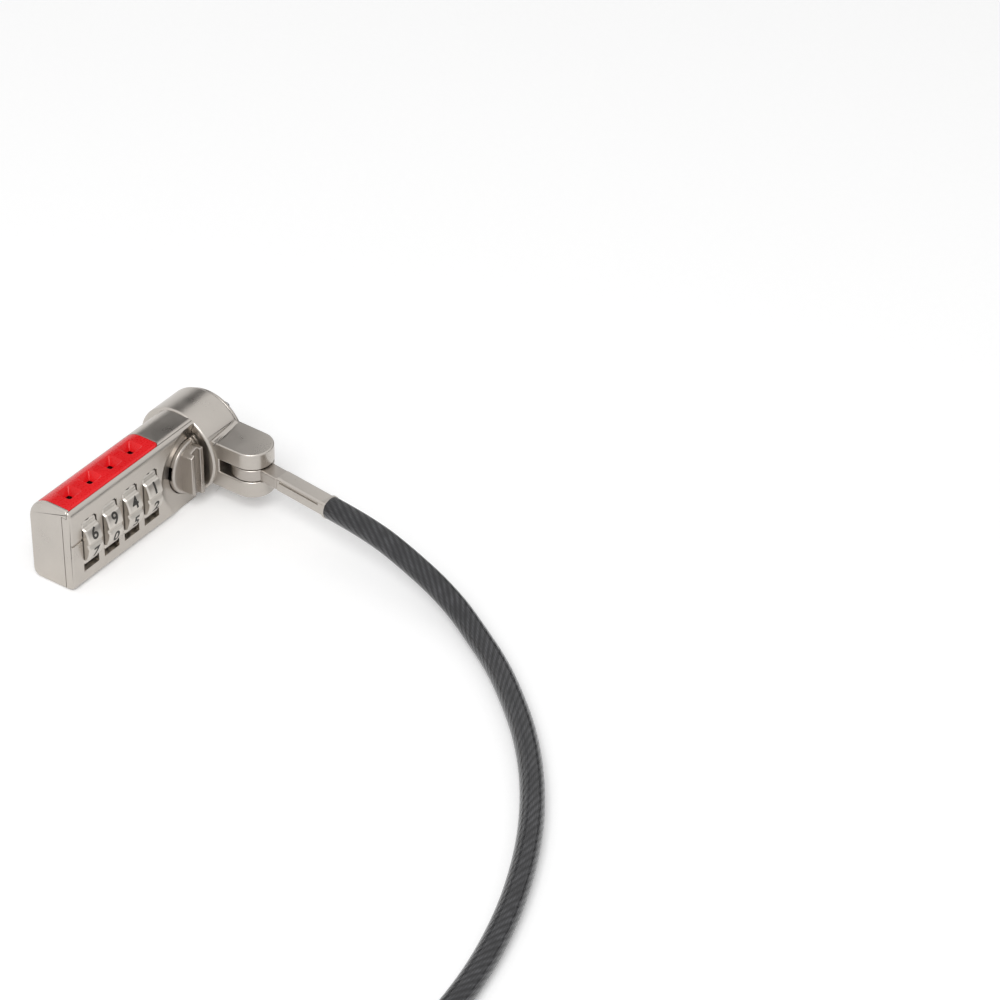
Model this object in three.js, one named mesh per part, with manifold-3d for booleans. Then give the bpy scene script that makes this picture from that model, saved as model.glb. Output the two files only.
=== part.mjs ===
// A combination lock for the security slot of a laptop, with its swivelling steel cable.
// The lock's axis runs along X: the T-bar points to +X, the dials show on the front, -Y, and on top.
// Inside, a thumb button with a fork turns the spindle, and the spindle turns the T-bar by a quarter.
import * as THREE from 'three';
import { mergeVertices } from 'three/addons/utils/BufferGeometryUtils.js';
import Module from 'manifold-3d';

const wasm = await Module();
wasm.setup();

// ---------- Driving dimensions, in millimetres and degrees ----------

// The bar-shaped housing
const barLength = 36.1;
const barWidth = 10;
const barHeight = 18;
const backTopRadius = 4.8;
const cornerRadius = 1.6;
const endWall = 3.05;
const backWall = 1.4;
const seamGap = 0.06;

// The front cover, thin along its top edge so that its seam lies close to the front
const coverThickness = 2;
const coverLip = 0.8;
const indexGrooveWidth = 0.5;
const indexGrooveDepth = 0.25;
const indexGrooveHeight = 1.3;

// The dials
const dialCount = 4;
const dialPitch = 5.75;
const dialRadius = 6.6;
const dialWidth = 3.9;
const digitCount = 10;
const dialFluteDepth = 0.4;
const dialFluteShare = 0.3;
const dialSideGap = 0.15;
const dialRimGap = 0.3;
const windowRampRise = 0.65;
const windowRampDepth = 0.35;
const windowRampWidth = 3.3;
const windowFootDrop = 1.15;
const windowFootDepth = 1.35;

// The code sleeves, and the spindle with its sliding code bar
const sleeveRadius = 3.6;
const sleeveBore = 2.25;
const sleeveGate = 1.1;
const sleeveGateCover = 0.5;
const spindleRadius = 1.85;
const spindleWaistRadius = 1.2;
const spindleNoseRadius = 1.05;
const spindleNoseLength = 4;
const journalLength = 2;
const codeBarWidth = 0.9;
const codeBarDepth = 1;
const turningGap = 0.1;

// The red window strip on top
const stripLength = 26.4;
const stripThickness = 1.6;
const stripBackEdge = 3.2;
const wellSize = 3.5;
const wellCentreY = -0.5;

// The round thumb recess in the front, and the thumb button in it
const scoopRadius = 9;
const scoopDepth = 1;
const scoopBevel = 1.1;
const scoopX = -11.2;
const scoopZ = -0.8;
const buttonRadius = 5.8;
const buttonZ = -0.8;
const buttonRim = 0.75;
const buttonRise = 0.7;
const gripStandout = 2.2;
const gripWidth = 3.5;
const buttonTravel = 3;
const buttonGap = 0.15;
const buttonFlange = 0.6;
const buttonFlangeThickness = 0.7;
const gripGrooves = 2;
const gripGrooveDepth = 0.5;
const gripGrooveShare = 0.4;

// The crank that the button's fork drives
const crankX = -17.2;
const crankThickness = 1.2;
const crankRadius = 2.8;
const crankPinRadius = 0.5;
const crankPinLength = 1.6;
const forkThickness = 1.2;
const forkHeight = 2;
const forkProng = 0.85;
const forkGap = 0.15;

// The return spring behind the button
const springRadius = 1.3;
const springWire = 0.45;
const springCurls = 6;
const springX = -13.4;
const springZ = -4.3;

// The detent strip under the dials
const detentThickness = 0.3;
const detentWidth = 3;
const detentBump = 0.5;
const detentGap = 0.15;

// The neck, and the swivelling collar that turns on it
const neckRadius = 6;
const collarRadius = 9;
const collarWidth = 9;
const swivelGap = 0.15;
const earHeight = 3.5;
const earInset = 0.7;
const tongueGap = 2.8;
const clevisReach = 14.3;
const clevisSlotStart = 9.5;
const clevisPinRadius = 1.5;
const clevisPinCover = 1.1;

// The nose: its plate, its two pegs and the T-bar, made for a slot of 3 by 7 mm
const noseThickness = 0.9;
const noseRadius = 8.3;
const pegRadius = 0.55;
const pegSpread = 2.85;
const pegReach = 1.6;
const pegRoot = 2.4;
const shankRadius = 1.3;
const hubLength = 6.6;
const crossPinRadius = 0.45;
const headGap = 1.9;
const headThickness = 2.4;
const headLength = 6.6;
const headWidth = 2.7;
const headCornerRadius = 0.7;

// The dowels that hold the front cover
const dowelRadius = 0.5;
const dowelLength = 4;
const dowelInset = 1.35;

// The cable's eye plate and its crimped ferrule
const eyeThickness = 2.5;
const eyeRadius = 4.1;
const eyeNeckWidth = 3.4;
const eyeNeckLength = 7.9;
const eyeTenonWidth = 2;
const eyeTenonThickness = 1.6;
const eyeTenonLength = 1.5;
const ferruleWidth = 3.4;
const ferruleHeight = 3.2;
const ferruleLength = 12.6;
const ferruleChamfer = 0.4;
const ferruleGroove = 0.4;
const cableSwing = 6.67;

// The cable: its free run, its coil, and the crimped loop at its far end
const cableDiameter = 4.4;
const cableGap = 0.3;
const runSides = 10;
const runSteps = 30;
const coilX = -178;
const coilY = -98;
const coilStartAngle = 92;
const coilMiddleRadius = 24.6;
const coilTurnsPerLayer = 2.235;
const coilLayers = 4;
const coilPitch = 4.9;
const coilStepsPerTurn = 24;
const coilSides = 6;
const tailBendRadius = 18;
const tailBendAngle = 110;
const tieThickness = 0.8;
const tieWidth = 7;
const tieGap = 0.5;
const tieAngles = [207, 78];
const loopSleeveLength = 13;
const loopSleeveWall = 0.7;
const strandGap = 0.4;
const loopLength = 37;
const loopWidth = 27;
const loopSweep = 112;

// ---------- Places that follow from them ----------

const axisHeight = barHeight / 2;
const frontY = -barWidth / 2;
const backY = barWidth / 2;
const topZ = barHeight / 2;
const bottomZ = -barHeight / 2;
const collarFrontX = -noseThickness - swivelGap;
const collarBackX = collarFrontX - collarWidth;
const shoulderX = collarBackX - swivelGap;
const barEndX = shoulderX - barLength;
const coverInnerY = frontY + coverThickness;
const lipInnerY = frontY + coverLip;
const coverTopZ = topZ - stripThickness - seamGap;
const pocketRadius = dialRadius + dialRimGap;
const pocketWidth = dialWidth + 2 * dialSideGap;
const firstDialX = barEndX + endWall + pocketWidth / 2;
const lastDialX = firstDialX + dialPitch * (dialCount - 1);
const shaftBore = spindleRadius + turningGap;
const neckBore = neckRadius + turningGap;
const clevisX = (collarFrontX + collarBackX + earInset) / 2;
const earTop = tongueGap / 2 + earHeight;
const buttonRightX = shoulderX - buttonRim;
const buttonFaceY = frontY + scoopDepth - buttonRise;
const gripLeftX = buttonRightX - gripWidth;
const gripFaceY = frontY - gripStandout;
const flangeFrontY = coverInnerY + buttonGap;
const flangeBackY = flangeFrontY + buttonFlangeThickness;
const buttonInnerY = -spindleWaistRadius - turningGap - buttonTravel;
const buttonPocketBackY = backY - backWall;
const crankThrow = buttonTravel / Math.SQRT2;
const crankPinY = -buttonTravel / 2;
const crankPinZ = buttonTravel / 2;
const forkX = crankX + turningGap;
const forkBottom = spindleWaistRadius + forkGap;
const forkTop = forkBottom + forkHeight;
const ferruleEnd = eyeNeckLength + ferruleLength;
const headEndX = headGap + headThickness;
const cableRadius = cableDiameter / 2;

// The eye and its ferrule are turned about the clevis pin, and the cable runs on in their direction.
const swing = THREE.MathUtils.degToRad(cableSwing);
const pinPlace = new THREE.Vector3(clevisX, -clevisReach, 0);
const cableHeading = new THREE.Vector3(-Math.sin(swing), -Math.cos(swing), 0);
const lowestY = -clevisReach - ferruleEnd * Math.cos(swing) - (ferruleWidth / 2) * Math.sin(swing);

// The whole lock's own box, without its cable, stands centred over the origin.
const centreX = (barEndX + headEndX) / 2;
const centreY = (lowestY + collarRadius) / 2;

// ---------- Materials ----------

const finish = (color, roughness, metalness) =>
  new THREE.MeshStandardMaterial({ color, roughness, metalness });
const satinNickel = () => finish(0xcfc8c0, 0.35, 0.9);
const darkNickel = () => finish(0xb4ada6, 0.4, 0.9);
const hardenedSteel = () => finish(0x9a9a9c, 0.4, 0.9);
const springSteel = () => finish(0xa8abad, 0.3, 0.9);
const brass = () => finish(0xc2a158, 0.4, 0.9);
const redPlastic = () => finish(0xe21a22, 0.25, 0);
const dialMetal = () => finish(0xb9b3ac, 0.45, 0.8);
const cableSheath = () => finish(0x414a52, 0.35, 0.1);
const blackTie = () => finish(0x1c1c1e, 0.8, 0);

// ---------- Solids ----------

const toSolid = (geometry) => {
  const bare = geometry.index ? geometry.toNonIndexed() : geometry.clone();
  bare.deleteAttribute('normal');
  bare.deleteAttribute('uv');
  const merged = mergeVertices(bare, 1e-4);
  const vertProperties = new Float32Array(merged.attributes.position.array);
  const triVerts = new Uint32Array(merged.index.array);
  return new wasm.Manifold(new wasm.Mesh({ numProp: 3, vertProperties, triVerts }));
};

const toGeometry = (solid) => {
  const { numProp, vertProperties, triVerts } = solid.getMesh();
  const position = new Float32Array((vertProperties.length / numProp) * 3);
  for (let i = 0; i < position.length / 3; i += 1) {
    position.set(vertProperties.subarray(i * numProp, i * numProp + 3), i * 3);
  }
  const geometry = new THREE.BufferGeometry();
  geometry.setAttribute('position', new THREE.BufferAttribute(position, 3));
  geometry.setIndex(new THREE.BufferAttribute(triVerts, 1));
  return geometry;
};

const join = (...solids) => solids.reduce((whole, next) => whole.add(next));
const cut = (solid, ...tools) => tools.reduce((left, tool) => left.subtract(tool), solid);

const box = (x0, x1, y0, y1, z0, z1) => {
  const geometry = new THREE.BoxGeometry(x1 - x0, y1 - y0, z1 - z0);
  geometry.translate((x0 + x1) / 2, (y0 + y1) / 2, (z0 + z1) / 2);
  return toSolid(geometry);
};

const extrudeIn = (basis, shape, depth, curveSegments) => {
  const geometry = new THREE.ExtrudeGeometry(shape, { depth, bevelEnabled: false, curveSegments });
  geometry.applyMatrix4(basis);
  return geometry;
};

const axisX = new THREE.Vector3(1, 0, 0);
const axisY = new THREE.Vector3(0, 1, 0);
const axisZ = new THREE.Vector3(0, 0, 1);

// A shape drawn as (y, z) and swept from x0 to x1
const alongX = (shape, x0, x1, curveSegments = 8) => {
  const basis = new THREE.Matrix4().makeBasis(axisY, axisZ, axisX);
  return toSolid(extrudeIn(basis, shape, x1 - x0, curveSegments).translate(x0, 0, 0));
};

// A shape drawn as (x, z) and swept from y0 to y1
const alongY = (shape, y0, y1, curveSegments = 8) => {
  const basis = new THREE.Matrix4().makeBasis(axisX, axisZ, axisY.clone().negate());
  return toSolid(extrudeIn(basis, shape, y1 - y0, curveSegments).translate(0, y1, 0));
};

// A shape drawn as (x, y) and swept from z0 to z1
const alongZ = (shape, z0, z1, curveSegments = 8) =>
  toSolid(extrudeIn(new THREE.Matrix4(), shape, z1 - z0, curveSegments).translate(0, 0, z0));

const circle = (radius, a = 0, b = 0) => new THREE.Shape().absarc(a, b, radius, 0, 2 * Math.PI, false);
const rodX = (radius, x0, x1, y = 0, z = 0, segments = 10) => alongX(circle(radius, y, z), x0, x1, segments);
const rodY = (radius, y0, y1, x, z, segments = 8) => alongY(circle(radius, x, z), y0, y1, segments);
const rodZ = (radius, z0, z1, x, y, segments = 10) => alongZ(circle(radius, x, y), z0, z1, segments);

const polygon = (corners) => new THREE.Shape(corners.map(([a, b]) => new THREE.Vector2(a, b)));

// A rectangle whose four corners have their own radii, from the low-low corner round to the low-high one
const roundedRectangle = (a0, a1, b0, b1, [r0, r1, r2, r3]) => {
  const shape = new THREE.Shape();
  shape.absarc(a0 + r0, b0 + r0, r0, Math.PI, 1.5 * Math.PI, false);
  shape.absarc(a1 - r1, b0 + r1, r1, 1.5 * Math.PI, 2 * Math.PI, false);
  shape.absarc(a1 - r2, b1 - r2, r2, 0, 0.5 * Math.PI, false);
  shape.absarc(a0 + r3, b1 - r3, r3, 0.5 * Math.PI, Math.PI, false);
  return shape;
};

const part = (name, solid, material) => {
  const mesh = new THREE.Mesh(toGeometry(solid), material);
  mesh.name = name;
  return mesh;
};

const dialPlaces = Array.from({ length: dialCount }, (_, i) => firstDialX + dialPitch * i);
const eachDial = (make) => dialPlaces.map((x, i) => make(x, i + 1));

// ---------- The housing ----------

const barSection = () => {
  const radii = [cornerRadius, cornerRadius, backTopRadius, cornerRadius];
  return roundedRectangle(frontY, backY, bottomZ, topZ, radii);
};

// The space in front of the seam, which belongs to the cover
const coverZone = (gap) => {
  const past = barWidth;
  const x0 = barEndX - past;
  const inner = box(x0, shoulderX, frontY - past, coverInnerY - gap, bottomZ - past, coverTopZ - gap);
  const lip = box(x0, shoulderX, frontY - past, lipInnerY - gap, bottomZ - past, topZ + past);
  return join(inner, lip);
};

const dialPocket = (x) => rodX(pocketRadius, x - pocketWidth / 2, x + pocketWidth / 2, 0, 0, 14);

const sleeveTunnel = () => {
  const half = dialPitch / 2;
  return rodX(sleeveRadius + turningGap, firstDialX - half, lastDialX + half, 0, 0, 10);
};

const stripZone = (gap) => {
  const past = barWidth;
  const x1 = barEndX + stripLength + gap;
  const z0 = topZ - stripThickness - gap;
  return box(barEndX - past, x1, frontY - past, stripBackEdge + gap, z0, topZ + past);
};

const wellHole = (x) => {
  const half = wellSize / 2;
  return box(x - half, x + half, wellCentreY - half, wellCentreY + half, 0, topZ + stripThickness);
};

// The button's outline from the front: a circle cut off straight beside the collar
const buttonOutline = (grow) => {
  const radius = buttonRadius + grow;
  const right = buttonRightX + Math.min(grow, buttonRim / 3);
  const reach = Math.acos((right - scoopX) / radius);
  const shape = new THREE.Shape();
  shape.absarc(scoopX, buttonZ, radius, reach, 2 * Math.PI - reach, false);
  return shape;
};

const pegPlaces = [-pegSpread, pegSpread];
const dowelPlaces = [
  [barEndX + dowelInset, bottomZ + 1.2 * dowelInset],
  [lastDialX + pocketWidth / 2 + dowelInset, bottomZ + 1.2 * dowelInset],
];

const makeHousing = () => {
  const bar = alongX(barSection(), barEndX, shoulderX);
  const neck = rodX(neckRadius, shoulderX - 1, -noseThickness - seamGap, 0, 0, 12);
  const pockets = eachDial(dialPocket);
  const dropIn = eachDial((x) => {
    const half = pocketWidth / 2;
    return box(x - half, x + half, frontY, 0, -pocketRadius, pocketRadius);
  });
  const wells = eachDial(wellHole);
  const buttonPocket = alongY(buttonOutline(buttonFlange + buttonGap), frontY, buttonPocketBackY);
  const crankSpaceStart = crankX - crankThickness - dialRimGap;
  const crankSpace = rodX(crankRadius + dialRimGap, crankSpaceStart, buttonRightX, 0, 0, 8);
  const forkSpace = box(
    forkX - forkGap, forkX + forkThickness + forkGap, frontY, buttonPocketBackY, 0, forkTop + forkGap,
  );
  const shaft = rodX(shaftBore, barEndX + endWall / 2, 0, 0, 0, 8);
  const pegHoleEnd = -noseThickness - pegRoot - seamGap;
  const pegs = pegPlaces.map((y) => rodX(pegRadius + seamGap, pegHoleEnd, 0, y, 0, 4));
  const dowelHoleEnd = coverInnerY + dowelLength;
  const dowels = dowelPlaces.map(([x, z]) => rodY(dowelRadius + seamGap, frontY, dowelHoleEnd, x, z, 4));
  const detentFloor = -pocketRadius - detentThickness - detentGap;
  const halfDetent = detentWidth / 2 + detentGap;
  const detentTop = -pocketRadius + detentBump;
  const halfPocket = pocketWidth / 2;
  const detentSlot = box(
    firstDialX - halfPocket, lastDialX + halfPocket, -halfDetent, halfDetent, detentFloor, detentTop,
  );
  const tools = [
    coverZone(-seamGap), stripZone(seamGap), buttonPocket, crankSpace, forkSpace, sleeveTunnel(), shaft,
    detentSlot, ...pockets, ...dropIn, ...wells, ...pegs, ...dowels,
  ];
  return cut(join(bar, neck), ...tools);
};

const makeFrontCover = () => {
  const slab = alongX(barSection(), barEndX, shoulderX).intersect(coverZone(0));
  const faceGap = Math.sqrt(pocketRadius ** 2 - frontY ** 2);
  const rampTop = faceGap + windowRampRise;
  const rampInnerY = frontY + windowRampDepth;
  const rampFoot = Math.sqrt(pocketRadius ** 2 - rampInnerY ** 2) - seamGap;
  const outY = frontY - coverThickness;
  const wedge = polygon([
    [outY, 0], [rampInnerY, 0], [rampInnerY, rampFoot], [frontY, rampTop], [outY, rampTop],
  ]);
  const half = pocketWidth / 2;
  const halfRamp = windowRampWidth / 2;
  const ramps = eachDial((x) => alongX(wedge, x - halfRamp, x + halfRamp));
  const footZ = -faceGap - windowFootDrop;
  const feet = eachDial((x) => box(x - half, x + half, outY, frontY + windowFootDepth, footZ, 0));
  const halfGroove = indexGrooveWidth / 2;
  const groove = box(
    barEndX - endWall, firstDialX, outY, frontY + indexGrooveDepth,
    indexGrooveHeight - halfGroove, indexGrooveHeight + halfGroove,
  );
  const wide = scoopRadius + scoopBevel;
  const scoop = new THREE.CylinderGeometry(wide, scoopRadius - scoopBevel, 2 * scoopDepth, 48);
  scoop.rotateX(Math.PI);
  scoop.translate(scoopX, frontY, scoopZ);
  const opening = alongY(buttonOutline(buttonGap), outY, 0);
  const dowelHoleStart = coverInnerY - coverThickness / 2;
  const dowels = dowelPlaces.map(([x, z]) => rodY(dowelRadius + seamGap, dowelHoleStart, 0, x, z, 4));
  const tools = [sleeveTunnel(), groove, toSolid(scoop), opening, ...ramps, ...feet, ...dowels];
  return cut(slab, ...eachDial(dialPocket), ...tools);
};

const makeStrip = () => {
  const shell = alongX(barSection(), barEndX, barEndX + stripLength);
  const past = barWidth;
  const zone = box(
    barEndX - past, shoulderX, lipInnerY + seamGap, stripBackEdge, topZ - stripThickness, topZ + past,
  );
  return cut(shell.intersect(zone), ...eachDial(wellHole));
};

const makeDowel = ([x, z]) => {
  const start = coverInnerY - coverThickness / 2 + seamGap;
  return rodY(dowelRadius, start, coverInnerY + dowelLength - seamGap, x, z, 4);
};

// ---------- The dials and the spindle ----------

// A dial's rim: one land for each digit, with a flute between each two
const dialSection = () => {
  const step = (2 * Math.PI) / digitCount;
  const halfLand = (step * (1 - dialFluteShare)) / 2;
  const shape = new THREE.Shape();
  for (let i = 0; i < digitCount; i += 1) {
    const middle = Math.PI / 2 + i * step;
    shape.absarc(0, 0, dialRadius, middle - halfLand, middle + halfLand, false);
    const flute = middle + step / 2;
    const fluteRadius = dialRadius - dialFluteDepth;
    shape.lineTo(fluteRadius * Math.cos(flute), fluteRadius * Math.sin(flute));
  }
  return shape;
};

const makeDial = (x) => {
  const body = alongX(dialSection(), x - dialWidth / 2, x + dialWidth / 2, 3);
  return cut(body, rodX(sleeveRadius + turningGap / 2, x - dialWidth, x + dialWidth, 0, 0, 10));
};

const makeSleeve = (x) => {
  const half = dialPitch / 2 - dialSideGap;
  const tube = rodX(sleeveRadius, x - half, x + half, 0, 0, 10);
  const bore = rodX(sleeveBore, x - dialPitch, x + dialPitch, 0, 0, 8);
  const gateTop = sleeveRadius - sleeveGateCover;
  const gate = box(x - half / 3, x + half / 3, -sleeveGate / 2, sleeveGate / 2, 0, gateTop);
  return cut(tube, bore, gate);
};

const spindleEndX = barEndX + endWall / 2 + turningGap;
const dialZoneEndX = crankX - crankThickness;
const hubEndX = -noseThickness - seamGap - turningGap;
const hubStartX = hubEndX - hubLength;
const noseStartX = hubStartX - turningGap;
const waistEndX = noseStartX - journalLength;
const crossPinX = hubStartX + spindleNoseLength / 2;
const codeBarStartX = firstDialX - dialWidth / 2;
const codeBarEndX = lastDialX + dialWidth / 2;

const makeSpindle = () => {
  const thick = rodX(spindleRadius, spindleEndX, dialZoneEndX, 0, 0, 8);
  const waist = rodX(spindleWaistRadius, dialZoneEndX - 1, waistEndX + 1, 0, 0, 6);
  const journal = rodX(spindleRadius, waistEndX, noseStartX, 0, 0, 8);
  const nose = rodX(spindleNoseRadius, noseStartX - 1, hubStartX + spindleNoseLength - turningGap, 0, 0, 6);
  const half = codeBarWidth / 2 + turningGap;
  const slot = box(
    codeBarStartX - turningGap, codeBarEndX + turningGap, -half, half,
    spindleRadius - codeBarDepth - turningGap, spindleRadius + 1,
  );
  const pinHole = rodY(crossPinRadius + seamGap, -spindleRadius, spindleRadius, crossPinX, 0, 4);
  return cut(join(thick, waist, journal, nose), slot, pinHole);
};

const makeCodeBar = () => {
  const half = codeBarWidth / 2;
  const bottom = spindleRadius - codeBarDepth;
  return box(codeBarStartX, codeBarEndX, -half, half, bottom, spindleRadius - turningGap);
};

const makeCrank = () => {
  const disc = rodX(crankRadius, crankX - crankThickness + turningGap, crankX, 0, 0, 8);
  const pin = rodX(crankPinRadius, crankX - turningGap, crankX + crankPinLength, crankPinY, crankPinZ, 4);
  const past = 2 * crankThickness;
  const bore = rodX(spindleWaistRadius + seamGap, crankX - past, crankX + crankPinLength + past, 0, 0, 6);
  return cut(join(disc, pin), bore);
};

const makeTBar = () => {
  const hub = rodX(spindleRadius, hubStartX, hubEndX, 0, 0, 8);
  const shank = rodX(shankRadius, hubEndX - 1, headGap + 1, 0, 0, 8);
  const halfWidth = headWidth / 2;
  const halfLength = headLength / 2;
  const radii = Array(4).fill(headCornerRadius);
  const outline = roundedRectangle(-halfWidth, halfWidth, -halfLength, halfLength, radii);
  const head = alongX(outline, headGap, headEndX, 3);
  const socket = rodX(spindleNoseRadius + seamGap, hubStartX - 1, hubStartX + spindleNoseLength, 0, 0, 6);
  const pinHole = rodY(crossPinRadius + seamGap, -2 * spindleRadius, 2 * spindleRadius, crossPinX, 0, 4);
  return cut(join(hub, shank, head), socket, pinHole);
};

const makeCrossPin = () => {
  const half = spindleRadius - 1.5 * turningGap;
  return rodY(crossPinRadius, -half, half, crossPinX, 0, 4);
};

// ---------- The thumb button ----------

const makeButton = () => {
  const disc = alongY(buttonOutline(0), buttonFaceY, flangeBackY, 10);
  const grip = alongY(buttonOutline(0), gripFaceY, flangeBackY, 10)
    .intersect(box(gripLeftX, shoulderX, gripFaceY, flangeBackY, bottomZ, topZ));
  const flange = alongY(buttonOutline(buttonFlange), flangeFrontY, flangeBackY, 10);
  const pitch = gripWidth / (gripGrooves + 1);
  const grooves = Array.from({ length: gripGrooves }, (_, i) => {
    const middle = gripLeftX + pitch * (i + 1);
    const half = (pitch * gripGrooveShare) / 2;
    const outY = gripFaceY - gripGrooveDepth;
    return box(middle - half, middle + half, outY, gripFaceY + gripGrooveDepth, bottomZ, topZ);
  });
  const prongEndY = crankPinY + crankPinRadius + forkGap + forkProng;
  const fork = box(forkX, forkX + forkThickness, flangeFrontY, prongEndY, forkBottom, forkTop);
  const notchHalf = crankPinRadius + forkGap;
  const notchTop = crankThrow + crankPinRadius + forkGap;
  const notchLeft = forkX - forkThickness;
  const notchRight = forkX + 2 * forkThickness;
  const notch = box(notchLeft, notchRight, crankPinY - notchHalf, crankPinY + notchHalf, 0, notchTop);
  const wayStart = scoopX - buttonRadius - 2 * buttonFlange;
  const shaftWay = box(wayStart, shoulderX, buttonInnerY, backY, -spindleWaistRadius - forkGap, forkBottom);
  const crankWay = box(
    wayStart, crankX + turningGap, -crankRadius - buttonTravel - forkGap, backY, bottomZ, topZ,
  );
  const springWell = rodY(springRadius + springWire, buttonInnerY, backY, springX, springZ, 6);
  const body = cut(join(disc, grip, flange), shaftWay, springWell);
  return cut(join(body, fork), notch, crankWay, ...grooves);
};

// ---------- Tubes swept by hand, for the spring, the coil and the loop ----------

// Joins rings of points round each place on a path; each ring starts straight below the path.
const sweepTube = (path, radius, sides, up = axisZ) => {
  const position = [];
  path.forEach((point, i) => {
    const before = path[Math.max(i - 1, 0)];
    const after = path[Math.min(i + 1, path.length - 1)];
    const tangent = after.clone().sub(before).normalize();
    const side = tangent.clone().cross(up).normalize();
    const rise = side.clone().cross(tangent);
    for (let k = 0; k < sides; k += 1) {
      const angle = -Math.PI / 2 + (2 * Math.PI * k) / sides;
      const spot = point.clone();
      spot.addScaledVector(side, radius * Math.cos(angle));
      spot.addScaledVector(rise, radius * Math.sin(angle));
      position.push(spot.x, spot.y, spot.z);
    }
  });
  const index = [];
  for (let i = 0; i < path.length - 1; i += 1) {
    for (let k = 0; k < sides; k += 1) {
      const a = i * sides + k;
      const b = i * sides + ((k + 1) % sides);
      index.push(a, b, a + sides);
      index.push(b, b + sides, a + sides);
    }
  }
  const last = (path.length - 1) * sides;
  for (let k = 1; k < sides - 1; k += 1) {
    index.push(0, k + 1, k);
    index.push(last, last + k, last + k + 1);
  }
  const geometry = new THREE.BufferGeometry();
  geometry.setAttribute('position', new THREE.Float32BufferAttribute(position, 3));
  geometry.setIndex(index);
  const solid = toSolid(geometry);
  if (solid.volume() > 0) return solid;
  geometry.setIndex(index.reverse());
  return toSolid(geometry);
};

const makeButtonSpring = () => {
  const start = buttonInnerY + springWire / 2 + turningGap;
  const end = buttonPocketBackY - springWire / 2 - turningGap;
  const stepsPerCurl = 8;
  const count = springCurls * stepsPerCurl;
  const path = Array.from({ length: count + 1 }, (_, i) => {
    const angle = (2 * Math.PI * i) / stepsPerCurl;
    const across = springRadius * Math.cos(angle);
    const up = springRadius * Math.sin(angle);
    return new THREE.Vector3(springX + across, start + ((end - start) * i) / count, springZ + up);
  });
  return sweepTube(path, springWire / 2, 5, axisY);
};

const makeDetentStrip = () => {
  const bottom = -pocketRadius - detentThickness;
  const half = detentWidth / 2;
  const reach = pocketWidth / 2 - dialSideGap;
  const strip = box(firstDialX - reach, lastDialX + reach, -half, half, bottom, bottom + detentThickness);
  const bumpFoot = bottom + detentThickness / 2;
  const wedge = polygon([[-half / 2, bumpFoot], [half / 2, bumpFoot], [0, -dialRadius - detentGap]]);
  const bumps = eachDial((x) => alongX(wedge, x - dialWidth / 3, x + dialWidth / 3));
  return join(strip, ...bumps);
};

// ---------- The nose, the collar and the cable's fittings ----------

const makeNosePlate = () => {
  const disc = rodX(noseRadius, -noseThickness, 0, 0, 0, 12);
  const through = 2 * noseThickness;
  const hole = rodX(shankRadius + turningGap, -through, through, 0, 0, 8);
  const pegs = pegPlaces.map((y) => rodX(pegRadius + seamGap, -through, through, y, 0, 4));
  return cut(disc, hole, ...pegs);
};

const makePeg = (y) => rodX(pegRadius, -noseThickness - pegRoot, pegReach, y, 0, 4);

const makeCollar = () => {
  const ring = rodX(collarRadius, collarBackX, collarFrontX, 0, 0, 14);
  const half = (collarWidth - earInset) / 2;
  const outline = new THREE.Shape();
  outline.moveTo(clevisX + half, 0);
  outline.lineTo(clevisX - half, 0);
  outline.absarc(clevisX, -clevisReach, half, Math.PI, 2 * Math.PI, false);
  const ears = alongZ(outline, -earTop, earTop, 10);
  const halfGap = tongueGap / 2;
  const past = 2 * clevisReach;
  const x0 = clevisX - collarWidth;
  const x1 = clevisX + collarWidth;
  const slot = box(x0, x1, -past, -clevisSlotStart, -halfGap, halfGap);
  const bore = rodX(neckBore, x0, x1, 0, 0, 12);
  const pinHoleEnd = earTop - clevisPinCover;
  const pinHole = rodZ(clevisPinRadius + seamGap, -past, pinHoleEnd, clevisX, -clevisReach, 8);
  return cut(join(ring, ears), slot, bore, pinHole);
};

const makeClevisPin = () => {
  const top = earTop - clevisPinCover - turningGap;
  return rodZ(clevisPinRadius, -earTop + turningGap, top, clevisX, -clevisReach, 8);
};

// The eye and the ferrule are drawn straight, with the pin's place at their origin.
const makeCableEye = () => {
  const half = eyeThickness / 2;
  const disc = rodZ(eyeRadius, -half, half, 0, 0, 10);
  const halfNeck = eyeNeckWidth / 2;
  const neck = box(-halfNeck, halfNeck, -eyeNeckLength, 0, -half, half);
  const halfTenon = eyeTenonWidth / 2;
  const tenonEndY = -eyeNeckLength - eyeTenonLength;
  const tenon = box(-halfTenon, halfTenon, tenonEndY, 0, -eyeTenonThickness / 2, eyeTenonThickness / 2);
  const hole = rodZ(clevisPinRadius + turningGap, -eyeThickness, eyeThickness, 0, 0, 8);
  return cut(join(disc, neck, tenon), hole);
};

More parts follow.
